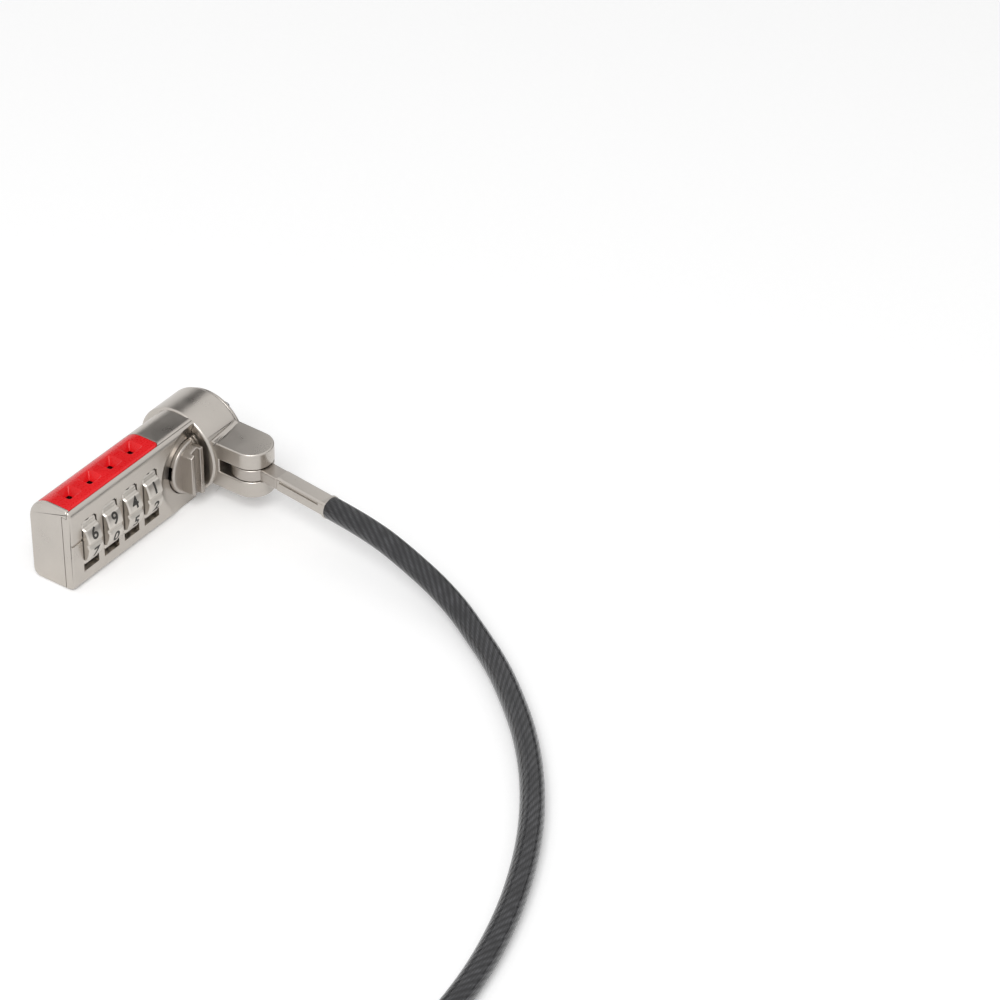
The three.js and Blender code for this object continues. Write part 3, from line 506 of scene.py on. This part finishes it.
def put_in_place(name, bm, place=Matrix.Identity(4)):
    """The finished mesh in metres: smooth faces, crisp where an edge is left sharp."""
    bm.transform(place)
    bm.transform(Matrix.Translation(lock_place) @ Matrix.Scale(mm, 4))
    for face in bm.faces:
        face.smooth = True
    for edge in bm.edges:
        edge.smooth = len(edge.link_faces) == 2 and edge.calc_face_angle(0) < sharp
    mesh = bpy.data.meshes.new(name)
    bm.to_mesh(mesh)
    bm.free()
    return mesh


def made(name, bm, material, body, place=Matrix.Identity(4)):
    """The piece for a node, with its flat faces kept flat beside their rounded edges."""
    mesh = put_in_place(name + "_finished", bm, place)
    piece = add_piece(name + "_finished", mesh, material, body, [name])
    flat = piece.modifiers.new("flat_faces", "WEIGHTED_NORMAL")
    flat.keep_sharp = True
    return piece


def plated(name, colour, roughness, mottle=0.05, grain=2600):
    """Satin metal: a fine grain, slow stains and a slightly uneven gloss."""
    material, tree, shader = new_finish(name)
    place = node(tree, "TexCoord").outputs["Object"]
    fine = node(tree, "TexNoise", place, scale=grain, detail=4).outputs["Fac"]
    slow = node(tree, "TexNoise", place, scale=grain / 16, detail=3).outputs["Fac"]
    both = node(tree, "Math", fine, 0.35, slow, operation="MULTIPLY_ADD").outputs[0]
    dark = tuple(c * (1 - 2 * mottle) for c in colour)
    pale = tuple(min(c * (1 + mottle), 1) for c in colour)
    coloured(tree, shader, both, (0.2, dark), (0.66, colour), (1.0, pale))
    roughened(tree, shader, both, 0.4, 0.95, roughness * 0.85, roughness * 1.2)
    raised(tree, shader, fine, 0.06, 0.00002)
    shader.inputs["Metallic"].default_value = 1
    return material


satin_nickel = plated("satin_nickel", (0.52, 0.485, 0.445), 0.3)


def make_loop_sleeve():
    length = loop_sleeve_length / mm
    bm = block(
        -sleeve_half_width, sleeve_half_width, -sleeve_half_height, sleeve_half_height, 0, length,
    )
    round_over(bm, sleeve_corner, 8, runs("Z"))
    sliced(bm, (0, 0, 1), crimp_places)
    pressed = [v for v in bm.verts if crimp_places[1] - near < v.co.z < crimp_places[2] + near]
    bmesh.ops.scale(bm, vec=crimp_squeeze, verts=pressed)
    bore_radius = cable_width / 2 / mm + sleeve_bore_gap
    side = strand_offset / mm
    bores = [rod(bore_radius, -past, length + past, "Z", (at, 0)) for at in (-side, side)]
    return broken(cut(bm, *bores), 0.22, 3)


sleeve_turn = Matrix((loop_side, Vector((0, 0, -1)), loop_heading)).transposed().to_4x4()
sleeve_place = Matrix.Translation(in_lock(in_loop(0, 0))) @ sleeve_turn
loop_sleeve = made(
    "loop_sleeve", make_loop_sleeve(), satin_nickel, "cable_end", sleeve_place,
)


def merged_copy(name):
    """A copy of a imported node's mesh in millimetres from the lock's axis, its doubles merged."""
    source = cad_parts[name]
    bm = bmesh.new()
    bm.from_mesh(source.data)
    bm.transform(source.matrix_world)
    bm.transform(Matrix.Scale(1 / mm, 4) @ Matrix.Translation(-lock_place))
    bmesh.ops.remove_doubles(bm, verts=bm.verts, dist=1e-3)
    bmesh.ops.dissolve_limit(
        bm, angle_limit=math.radians(1), verts=bm.verts, edges=bm.edges, delimit=set(),
    )
    return bm


def tie_finish():
    """Black woven tape with a napped face."""
    material, tree, shader = new_finish("hook_and_loop_tape")
    place = node(tree, "TexCoord").outputs["Object"]
    weave = node(tree, "TexVoronoi", place, scale=2200).outputs["Distance"]
    nap = node(tree, "TexNoise", place, scale=700, detail=6).outputs["Fac"]
    both = node(tree, "Math", weave, 0.5, nap, operation="MULTIPLY_ADD").outputs[0]
    coloured(tree, shader, both, (0.35, (0.006, 0.006, 0.007)), (0.9, (0.035, 0.035, 0.038)))
    raised(tree, shader, both, 0.7, 0.0002)
    shader.inputs["Roughness"].default_value = 0.92
    shader.inputs["Sheen Weight"].default_value = 0.35
    return material


tape = tie_finish()
ties = [
    made(name, broken(merged_copy(name), tie_edge, 2), tape, "cable_end")
    for name in ("coil_tie_1", "coil_tie_2")
]


# ---------------------------------------------------------------- The ferrule, the eye and the pin
# The cable's steel core is crimped into a chamfered ferrule, which holds the tenon of a flat eye
# plate. The eye swings on a steel pin between the collar's ears.
pin_radius = 1.5
pin_chamfer = 0.3
pin_gap = 0.1
ear_top = 4.9
pin_cover = 1.1

eye_half = 1.25
eye_radius = 4.1
neck_half = 1.7
neck_end = 7.9
neck_gap = 0.05
tenon_half = 1
tenon_half_height = 0.8
tenon_start = 1
tenon_length = 1.5
tenon_gap = 0.1

ferrule_half = 1.7
ferrule_half_height = 1.6
ferrule_chamfer = 0.4
ferrule_flare = 0.12
ferrule_lip = 0.55
ferrule_throat = 1.1
ferrule_shoulder = 0.9
socket_depth = 1.7
mark_depth = 0.25
mark_low = 0.62
mark_high = 0.98
mark_ends = (1.9, 0.7)

button_nickel = plated("button_nickel", (0.46, 0.425, 0.39), 0.3)
steel = plated("hardened_steel", (0.42, 0.42, 0.43), 0.34)
pin_turn = Matrix.Translation((clevis_x, -clevis_reach, 0)) @ Matrix.Rotation(-cable_swing, 4, "Z")


def joined(body, *others):
    return combined(body, others, "UNION")


def make_eye():
    plate = rod(eye_radius, -eye_half, eye_half, "Z")
    neck = block(-neck_half, neck_half, -neck_end, 0, -eye_half, eye_half)
    tenon = block(
        -tenon_half, tenon_half, -neck_end - tenon_length, -tenon_start,
        -tenon_half_height, tenon_half_height,
    )
    bore = rod(pin_radius + pin_gap, -far, far, "Z")
    return broken(cut(joined(plate, neck, tenon), bore), 0.3, 4)


made("cable_eye", make_eye(), button_nickel, "cable_end", pin_turn)


def make_ferrule():
    start = -neck_end - neck_gap
    end = -ferrule_end
    bm = block(-ferrule_half, ferrule_half, end, start, -ferrule_half_height, ferrule_half_height)
    round_over(bm, ferrule_chamfer, 1, runs("Y"))
    sliced(bm, (0, 1, 0), (end + ferrule_lip, end + ferrule_throat, start - ferrule_shoulder))
    lip = [v for v in bm.verts if v.co.y < end + ferrule_lip + near]
    bmesh.ops.scale(bm, vec=(1 + ferrule_flare, 1, 1 + ferrule_flare), verts=lip)
    half, half_height = tenon_half + tenon_gap, tenon_half_height + tenon_gap
    socket = block(-half, half, start - socket_depth, 0, -half_height, half_height)
    crimp_mark = block(
        -far, -ferrule_half + mark_depth, end + mark_ends[0], start - mark_ends[1],
        mark_low, mark_high,
    )
    return broken(cut(bm, socket, crimp_mark), 0.1, 2)


made("ferrule", make_ferrule(), satin_nickel, "cable_end", pin_turn)


def make_pin():
    low, high = -ear_top + pin_gap, ear_top - pin_cover - pin_gap
    tip = pin_radius - pin_chamfer
    profile = [
        (low, 0), (low, tip), (low + pin_chamfer, pin_radius),
        (high - pin_chamfer, pin_radius), (high, tip), (high, 0),
    ]
    return turned(profile, "Z", (clevis_x, -clevis_reach), 48)


made("clevis_pin", make_pin(), steel, "collar")


# ---------------------------------------------------------------- The swivel collar
# A plated zinc ring that turns round the lock's neck. The two ears of its clevis are cast in one
# with it, and are drilled from below for the pin.
collar_front = -1.05
collar_back = -10.05
collar_radius = 9
collar_bore = 6.1
collar_edge = 0.55
ear_half = 4.15
ear_fillet = 0.7
slot_half = 1.4
slot_start = 9.5
pin_fit = 0.06


def make_collar():
    ring = rod(collar_radius, collar_back, collar_front, "X", steps=120)
    round_over(
        ring, collar_edge, 4,
        lambda middle, along: abs(along.x) < 0.1 and middle.yz.length > collar_radius - near,
    )
    plate = block(clevis_x - ear_half, clevis_x + ear_half, -clevis_reach, 0, -ear_top, ear_top)
    end = rod(ear_half, -ear_top, ear_top, "Z", (clevis_x, -clevis_reach), 64)
    body = joined(ring, joined(plate, end))
    meets_ring = -math.sqrt(collar_radius**2 - ear_top**2)
    round_over(
        body, ear_fillet, 5,
        runs("X", lambda m: abs(m.y - meets_ring) < near and abs(abs(m.z) - ear_top) < near),
    )
    reach = collar_radius
    slot = block(clevis_x - reach, clevis_x + reach, -far, -slot_start, -slot_half, slot_half)
    bore = rod(collar_bore, -far, far, "X", steps=96)
    hole_top = ear_top - pin_cover
    pin_hole = rod(pin_radius + pin_fit, -far, hole_top, "Z", (clevis_x, -clevis_reach), 48)
    return broken(cut(body, slot, bore, pin_hole), 0.32, 4)


made("swivel_collar", make_collar(), satin_nickel, "collar")


# ---------------------------------------------------------------- The housing
# A plated zinc bar with a rounded back edge, open in front for the dials and the button, with the
# neck that the collar turns on. Its seams are milled, so their edges are only just broken.
bar_end = in_lock(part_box("housing")[0]).x
shoulder = -10.2
half_width = 5
half_height = 9
back_top_radius = 4.8
edge_radius = 1.6
end_edge = 0.55
shoulder_edge = 0.2
end_wall = 1.5
cover_inner = -3
lip_inner = -4.2
cover_top = 7.34
seam = 0.06

strip_start = bar_end + 0.9
strip_end = bar_end + 26.4
strip_back = 3.2
strip_bottom = 7.4
strip_corner = 0.9

dial_count = 4
dial_pitch = 5.75
first_dial = -41.15
dial_places = [first_dial + dial_pitch * i for i in range(dial_count)]
pocket_radius = 6.9
pocket_half = 2.1
tunnel_radius = 3.7
well_half = 1.75
well_middle = -0.5
well_corner = 0.3
well_gap = 0.05

dish_x = -11.2
button_z = -0.8
button_radius = 5.8
button_right = -10.95
button_pocket = (-6, 3.6)
pocket_gap = 0.75
pocket_right_gap = 0.25
crank_x = -17.2
crank_way = 3.1
crank_start = 1.5
fork_way = (-0.05, 1.45)
fork_way_top = 3.5
neck_radius = 6
neck_face = -0.96
neck_root = 0.5
shaft_radius = 1.95


def bar_blank():
    """The whole bar, from which the housing, the cover and the strip are cut."""
    bm = block(bar_end, shoulder, -half_width, half_width, -half_height, half_height)
    round_over(bm, back_top_radius, 14, runs("X", lambda m: m.y > 0 and m.z > 0))
    y, z = half_width - near, half_height - near
    round_over(bm, edge_radius, 6, runs("X", lambda m: abs(m.y) > y and abs(m.z) > z))
    round_over(bm, end_edge, 4, lambda middle, along: middle.x < bar_end + near)
    return round_over(bm, shoulder_edge, 2, lambda middle, along: middle.x > shoulder - near)


def strip_zone(gap):
    """The space of the window strip, with the rounded corners of its inner end."""
    bm = block(
        strip_start - gap, strip_end + gap, lip_inner + seam - gap, strip_back + gap,
        strip_bottom - gap, far,
    )
    return round_over(bm, strip_corner, 6, runs("Z", lambda m: m.x > strip_end - 1))


def dial_pockets():
    return [
        rod(pocket_radius, x - pocket_half, x + pocket_half, "X", steps=96) for x in dial_places
    ]


def dial_tunnel():
    """The way for the code sleeves and the spindle, through all the dials."""
    reach = dial_pitch / 2
    return rod(tunnel_radius, dial_places[0] - reach, dial_places[-1] + reach)


def wells():
    """A square hole down to each dial."""
    holes = []
    half = well_half + well_gap
    for x in dial_places:
        bm = block(x - half, x + half, well_middle - half, well_middle + half, 0, far)
        holes.append(round_over(bm, well_corner, 3, runs("Z")))
    return holes


def shared(body, *others):
    return combined(body, others, "INTERSECT")


def button_hole(radius, right, start, end):
    """A round hole cut off straight beside the collar."""
    hole = rod(radius, start, end, "Y", (dish_x, button_z), 96)
    return shared(hole, block(-far, right, -far, far, -far, far))


def make_housing():
    zones = [
        block(-far, far, -far, cover_inner + seam, -far, cover_top + seam),
        block(-far, far, -far, lip_inner + seam, -far, far),
        strip_zone(seam),
    ]
    drop_in = [
        block(x - pocket_half, x + pocket_half, -half_width, 0, -pocket_radius, pocket_radius)
        for x in dial_places
    ]
    front, back = button_pocket
    hollows = [
        dial_tunnel(),
        button_hole(button_radius + pocket_gap, button_right + pocket_right_gap, front, back),
        rod(crank_way, crank_x - crank_start, button_right),
        block(crank_x + fork_way[0], crank_x + fork_way[1], front, back, 0, fork_way_top),
    ]
    bar = cut(bar_blank(), *zones, *dial_pockets(), *drop_in, *wells(), *hollows)
    neck = rod(neck_radius, shoulder - neck_root, neck_face, "X", steps=96)
    shaft = rod(shaft_radius, bar_end + end_wall, far)
    return broken(cut(joined(bar, neck), shaft), 0.1, 2)


made("housing", make_housing(), satin_nickel, "lock_body")


# ---------------------------------------------------------------- The front cover
# The plated front shell, pressed on over two dowels. It has the four dial windows with a ramp above
# and a foot below each, the index groove, and the round dish for the thumb.
before = -8
dish_z = -0.8
ramp_top = 5.4
ramp_rise = 0.3
ramp_depth = 0.35
ramp_half = 1.65
foot_low = -5.9
foot_depth = 1.35
groove_z = 1.3
groove_half = 0.25
groove_depth = 0.25
opening_gap = 0.15

# The dish: a shallow bevel, a ledge, a second lip and a hollowed floor
dish_profile = [
    (before, 0), (before, 9.8), (-5, 9.8), (-4.3, 8.7), (-4.25, 8.1), (-3.8, 7.2), (-3.65, 4.5),
    (-3.6, 0),
]


def make_cover():
    behind = block(-far, far, cover_inner, far, -far, far)
    above = block(-far, far, lip_inner, far, cover_top, far)
    slab = cut(bar_blank(), behind, above)
    dish = turned(dish_profile, "Y", (dish_x, dish_z), 128)
    ramps, feet = [], []
    for x in dial_places:
        ramp = block(x - ramp_half, x + ramp_half, before, -half_width + ramp_depth, 0, ramp_top)
        upper = [v for v in ramp.verts if v.co.z > near and v.co.y > -half_width]
        bmesh.ops.translate(ramp, vec=(0, 0, -ramp_rise), verts=upper)
        ramps.append(ramp)
        foot_back = -half_width + foot_depth
        feet.append(block(x - pocket_half, x + pocket_half, before, foot_back, foot_low, 0))
    groove = block(
        -far, first_dial - pocket_half, before, -half_width + groove_depth,
        groove_z - groove_half, groove_z + groove_half,
    )
    opening = button_hole(button_radius + opening_gap, button_right + opening_gap, before, 0)
    shell = cut(slab, dish, groove, dial_tunnel(), opening, *dial_pockets(), *ramps, *feet)
    # The dish's rim is thinnest beside the shoulder, and stays crisp there.
    return broken(shell, 0.12, 3, lambda middle: middle.x < shoulder - 2.6 or abs(middle.z) < 6)


made("front_cover", make_cover(), satin_nickel, "lock_body")


# ---------------------------------------------------------------- The window strip
# A glossy red moulding, let into the top of the bar behind the cover's edge, with a square well
# over each dial that narrows downwards.
well_foot = 0.6
funnel_corner = 0.4
funnel_bottom = 7.3
funnel_top = 9.1


def strip_finish():
    """Clear red plastic, a little uneven in colour and in gloss."""
    material, tree, shader = new_finish("red_moulding")
    place = node(tree, "TexCoord").outputs["Object"]
    cloud = node(tree, "TexNoise", place, scale=160, detail=3).outputs["Fac"]
    grain = node(tree, "TexNoise", place, scale=2400, detail=2).outputs["Fac"]
    coloured(tree, shader, cloud, (0.3, (0.66, 0.005, 0.008)), (0.7, (0.8, 0.008, 0.012)))
    roughened(tree, shader, grain, 0.0, 1.0, 0.22, 0.34)
    raised(tree, shader, grain, 0.02, 0.00002)
    shader.inputs["Specular IOR Level"].default_value = 0.3
    shader.inputs["Coat Weight"].default_value = 0.1
    shader.inputs["Coat Roughness"].default_value = 0.1
    return material


def make_strip():
    strip = shared(bar_blank(), strip_zone(0))
    front, back = well_middle - well_half, well_middle + well_half
    narrowed = well_foot / well_half
    funnels = []
    for x in dial_places:
        funnel = block(x - well_half, x + well_half, front, back, funnel_bottom, funnel_top)
        round_over(funnel, funnel_corner, 3, runs("Z"))
        for vert in funnel.verts:
            if vert.co.z < funnel_bottom + near:
                vert.co.x = x + (vert.co.x - x) * narrowed
                vert.co.y = well_middle + (vert.co.y - well_middle) * narrowed
        funnels.append(funnel)
    return broken(cut(strip, *funnels), 0.14, 3)


made("window_strip", make_strip(), strip_finish(), "lock_body")


# ---------------------------------------------------------------- The dials
# Plated rings on the code sleeves, each with ten lands between ten flutes. The figures are cut in
# and filled with black.
dial_radius = 6.6
dial_half = 1.95
dial_bore = 3.65
dial_chamfer = 0.28
digit_count = 10
digit_step = 2 * math.pi / digit_count
flute_share = 0.3
flute_depth = 0.4
figure_size = 3.3
figure_weight = 0.08
figure_half = 0.05
figure_rise = 0.02
figure_rows = [0.3 * k for k in range(-4, 5)]
shown_at_top = (4, 7, 2, 9)

dial_nickel = plated("dial_nickel", (0.6, 0.565, 0.52), 0.33, mottle=0.12, grain=4200)


def make_dial(x):
    low, high = x - dial_half, x + dial_half
    rim = dial_radius - dial_chamfer
    profile = [
        (low, dial_bore), (low, rim), (low + dial_chamfer, dial_radius),
        (high - dial_chamfer, dial_radius), (high, rim), (high, dial_bore),
    ]
    bm = turned(profile, steps=240)
    for vert in bm.verts:
        reach = vert.co.yz.length
        if reach < rim - near:
            continue
        angle = math.atan2(vert.co.z, vert.co.y) - math.pi / 2 - digit_step / 2
        off = abs((angle / digit_step + 0.5) % 1 - 0.5) / (flute_share / 2)
        if off < 1:
            sunk = flute_depth * math.cos(off * math.pi / 2)
            vert.co.y *= (reach - sunk) / reach
            vert.co.z *= (reach - sunk) / reach
    return bm


def figure_finish():
    """Matt black filling paint, a little uneven."""
    material, tree, shader = new_finish("figure_black")
    place = node(tree, "TexCoord").outputs["Object"]
    speckle = node(tree, "TexNoise", place, scale=5000, detail=3).outputs["Fac"]
    coloured(tree, shader, speckle, (0.35, (0.012, 0.011, 0.01)), (0.75, (0.05, 0.046, 0.04)))
    shader.inputs["Roughness"].default_value = 0.6
    return material


def make_figures(x, first):
    """The ten figures round one dial, wrapped onto its lands."""
    whole = bmesh.new()
    for i in range(digit_count):
        text = bpy.data.curves.new("figure", "FONT")
        text.body = str((first + i) % digit_count)
        text.size = figure_size
        text.align_x = "CENTER"
        text.align_y = "CENTER"
        text.extrude = figure_half
        text.offset = figure_weight
        holder = bpy.data.objects.new("figure", text)
        mesh = bpy.data.meshes.new_from_object(holder)
        figure = bmesh.new()
        figure.from_mesh(mesh)
        bpy.data.objects.remove(holder)
        bpy.data.curves.remove(text)
        bpy.data.meshes.remove(mesh)
        bmesh.ops.remove_doubles(figure, verts=figure.verts, dist=1e-3)
        sliced(figure, (0, 1, 0), figure_rows)
        land = math.pi / 2 + i * digit_step
        for vert in figure.verts:
            angle = land - vert.co.y / dial_radius
            reach = dial_radius + figure_rise - figure_half + vert.co.z
            vert.co = (x + vert.co.x, reach * math.cos(angle), reach * math.sin(angle))
        bmesh.ops.recalc_face_normals(figure, faces=figure.faces)
        part = bpy.data.meshes.new("figure")
        figure.to_mesh(part)
        figure.free()
        whole.from_mesh(part)
        bpy.data.meshes.remove(part)
    return whole


figure_black = figure_finish()
for i, x in enumerate(dial_places):
    name = f"dial_{i + 1}"
    made(name, make_dial(x), dial_nickel, name)
    mesh = put_in_place(name + "_figures", make_figures(x, shown_at_top[i]))
    add_piece(name + "_figures", mesh, figure_black, name)


# ---------------------------------------------------------------- The thumb button
# A plated slider: a low disc in the dish, cut off straight beside the collar, with a raised grip
# between two ribs. Its flange keeps it in the cover, and its fork reaches back to the crank.
disc_face = -4.7
disc_edge = (0.25, 0.35)
flange = 0.6
flange_front = -2.85
flange_back = -2.15
flange_left = -17.1
hollow_face = -4.3
shaft_way_half = 1.35
spring_x = -13.4
spring_z = -4.3
spring_well = 1.75
grip_inset = 0.6
grip_left = -14.45
grip_face = -7.2
grip_root = 1
rib_width = 0.95
valley_depth = 0.8
fork_left = -17.1
fork_right = -15.9
fork_top = 3.35
notch_margin = 1.2
notch_back = -0.85
notch_top = 2.78


def make_button():
    rim = button_radius + flange
    profile = [
        (flange_back, 0), (flange_back, rim), (flange_front, rim), (flange_front, button_radius),
        (disc_face + disc_edge[0], button_radius), (disc_face, button_radius - disc_edge[1]),
        (disc_face, 0),
    ]
    middle = (dish_x, button_z)
    disc = turned(profile, "Y", middle, 128)
    grip = rod(button_radius - grip_inset, grip_face, disc_face + grip_root, "Y", middle, 128)
    grip = shared(grip, block(grip_left, button_right + 5, -far, far, -far, far))
    valley = (grip_left + rib_width, button_right - rib_width, -far, grip_face + valley_depth)
    body = cut(
        joined(disc, grip),
        block(button_right, far, -far, far, -far, far),
        block(-far, flange_left, -far, far, -far, far),
        block(-far, far, hollow_face, far, -shaft_way_half, shaft_way_half),
        rod(spring_well, hollow_face, far, "Y", (spring_x, spring_z)),
        block(*valley, -far, far),
    )
    fork = block(fork_left, fork_right, flange_front, 0, shaft_way_half, fork_top)
    notch = block(
        fork_left - notch_margin, fork_right + notch_margin, flange_back, notch_back, 0, notch_top,
    )
    return broken(cut(joined(body, fork), notch), 0.16, 3)


made("thumb_button", make_button(), button_nickel, "button")


# ---------------------------------------------------------------- The nose, the pegs and the T-bar
# The plate that lies against the security slot, the two pegs that fill the slot, and the hardened
# T-bar whose head goes in and turns by a quarter.
nose_radius = 8.3
nose_thickness = 0.9
nose_chamfer = 0.25
nose_bore = 1.4
peg_radius = 0.55
peg_gap = 0.05
peg_spread = 2.85
peg_root = -3.3
peg_reach = 1.6
peg_tip = 0.2
hub_radius = 1.85
hub_start = -7.66
hub_end = -1.06
shank_radius = 1.3
shank_start = -2
shank_end = 3
head_start = 1.9
head_end = 4.3
head_half_width = 1.35
head_half_length = 3.3
head_corner = 0.7


def make_nose():
    back, rim = -nose_thickness, nose_radius - nose_chamfer
    profile = [
        (back, 0), (back, rim), (back + nose_chamfer, nose_radius),
        (-nose_chamfer, nose_radius), (0, rim), (0, 0),
    ]
    holes = [rod(nose_bore, -far, far)]
    for y in (-peg_spread, peg_spread):
        holes.append(rod(peg_radius + peg_gap, -far, far, "X", (y, 0), 24))
    return broken(cut(turned(profile, steps=96), *holes), 0.06, 2)


made("nose_plate", make_nose(), button_nickel, "lock_body")

for number, y in ((1, -peg_spread), (2, peg_spread)):
    profile = [
        (peg_root, 0), (peg_root, peg_radius), (peg_reach - peg_tip, peg_radius),
        (peg_reach, peg_radius - peg_tip), (peg_reach, 0),
    ]
    peg = turned(profile, "X", (y, 0), 32)
    made(f"slot_peg_{number}", peg, steel, "lock_body")


def make_t_bar():
    hub = rod(hub_radius, hub_start, hub_end)
    shank = rod(shank_radius, shank_start, shank_end)
    head = block(
        head_start, head_end, -head_half_width, head_half_width,
        -head_half_length, head_half_length,
    )
    round_over(head, head_corner, 5, runs("X"))
    return broken(joined(hub, shank, head), 0.18, 3)


made("t_bar", make_t_bar(), steel, "t_bar")


# ---------------------------------------------------------------- The works inside
# Turned and pressed parts of steel and brass that the housing hides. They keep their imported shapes
# and get their metal. The wound return spring is a copy, since it shortens as the button goes in.
bright_steel = plated("spring_steel", (0.55, 0.56, 0.57), 0.25)
turned_brass = plated("turned_brass", (0.62, 0.44, 0.17), 0.3)
inner_finishes = {
    "spindle": steel, "crank": steel, "t_bar_pin": steel, "cover_dowel_1": steel,
    "cover_dowel_2": steel, "code_bar": turned_brass, "detent_strip": bright_steel,
}
for i in range(dial_count):
    inner_finishes[f"code_sleeve_{i + 1}"] = turned_brass
for name, metal in inner_finishes.items():
    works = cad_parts[name]
    works.data.materials.clear()
    works.data.materials.append(metal)

spring = made(
    "button_spring", merged_copy("button_spring"), bright_steel, "lock_body",
)
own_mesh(spring)


# ---------------------------------------------------------------- The studio
# A pale floor under an even white sky, a large soft lamp from the upper left, and two dark boards
# out of view on the right, which only the metal and the cable mirror.
floor_half = 4
floor_glow = 0.15
sky_level = 0.62
lamp_place = Vector((-0.5, -0.25, 0.75))
lamp_size = 0.5
lamp_watts = 4.2


def straight_rays(tree, rays):
    """1 for the rays from the camera and from glossy surfaces, and 0 for the others."""
    camera_ray, glossy_ray = rays.outputs["Is Camera Ray"], rays.outputs["Is Glossy Ray"]
    return node(tree, "Math", camera_ray, glossy_ray, operation="MAXIMUM").outputs[0]


def floor_finish():
    """Pale matt board, which shows white to the eye and in the metal, and keeps the shadow."""
    material, tree, shader = new_finish("pale_board")
    place = node(tree, "TexCoord").outputs["Object"]
    grain = node(tree, "TexNoise", place, scale=900, detail=3).outputs["Fac"]
    coloured(tree, shader, grain, (0.3, (0.92, 0.92, 0.92)), (0.7, (0.94, 0.94, 0.94)))
    shader.inputs["Roughness"].default_value = 0.9
    shader.inputs["Specular IOR Level"].default_value = 0.1
    seen = straight_rays(tree, node(tree, "LightPath"))
    glow = node(tree, "Math", seen, floor_glow, operation="MULTIPLY").outputs[0]
    shader.inputs["Emission Color"].default_value = (1, 1, 1, 1)
    tree.links.new(glow, shader.inputs["Emission Strength"])
    return material


floor_mesh = bpy.data.meshes.new("floor")
bm = bmesh.new()
bmesh.ops.create_grid(bm, x_segments=1, y_segments=1, size=floor_half)
bm.to_mesh(floor_mesh)
bm.free()
floor_mesh.materials.append(floor_finish())
floor = bpy.data.objects.new("floor", floor_mesh)
bpy.context.scene.collection.objects.link(floor)

world = bpy.data.worlds.new("studio")
bpy.context.scene.world = world
world.use_nodes = True
sky = world.node_tree
rays = node(sky, "LightPath")
through = rays.outputs["Is Transmission Ray"]
seen = node(sky, "Math", straight_rays(sky, rays), through, operation="MAXIMUM").outputs[0]
level = node(sky, "MapRange", seen, 0.0, 1.0, sky_level, 1.0)
sky.links.new(level.outputs[0], sky.nodes["Background"].inputs["Strength"])
sky.nodes["Background"].inputs["Color"].default_value = (1, 1, 1, 1)

lamp_data = bpy.data.lights.new("key", "AREA")
lamp_data.size = lamp_size
lamp_data.energy = lamp_watts
lamp = bpy.data.objects.new("key", lamp_data)
lamp.location = lamp_place
lamp.rotation_euler = (-lamp_place).to_track_quat("-Z", "Y").to_euler()
bpy.context.scene.collection.objects.link(lamp)

board_finish = new_finish("dark_board")[0]
board_shader = board_finish.node_tree.nodes["Principled BSDF"]
board_shader.inputs["Base Color"].default_value = (0.03, 0.028, 0.028, 1)
board_shader.inputs["Roughness"].default_value = 0.8


def dark_panel(name, x, y0, y1, z0, z1):
    """An upright board that only the glossy surfaces see."""
    mesh = bpy.data.meshes.new(name)
    corners = [(x, y0, z0), (x, y1, z0), (x, y1, z1), (x, y0, z1)]
    mesh.from_pydata(corners, [], [(0, 1, 2, 3)])
    mesh.materials.append(board_finish)
    panel = bpy.data.objects.new(name, mesh)
    panel.visible_camera = False
    panel.visible_shadow = False
    panel.visible_diffuse = False
    bpy.context.scene.collection.objects.link(panel)


dark_panel("dark_panel_high", 0.085, 0.055, 0.14, 0.055, 0.15)
dark_panel("dark_panel_low", 0.085, -0.3, 0.05, 0.002, 0.036)
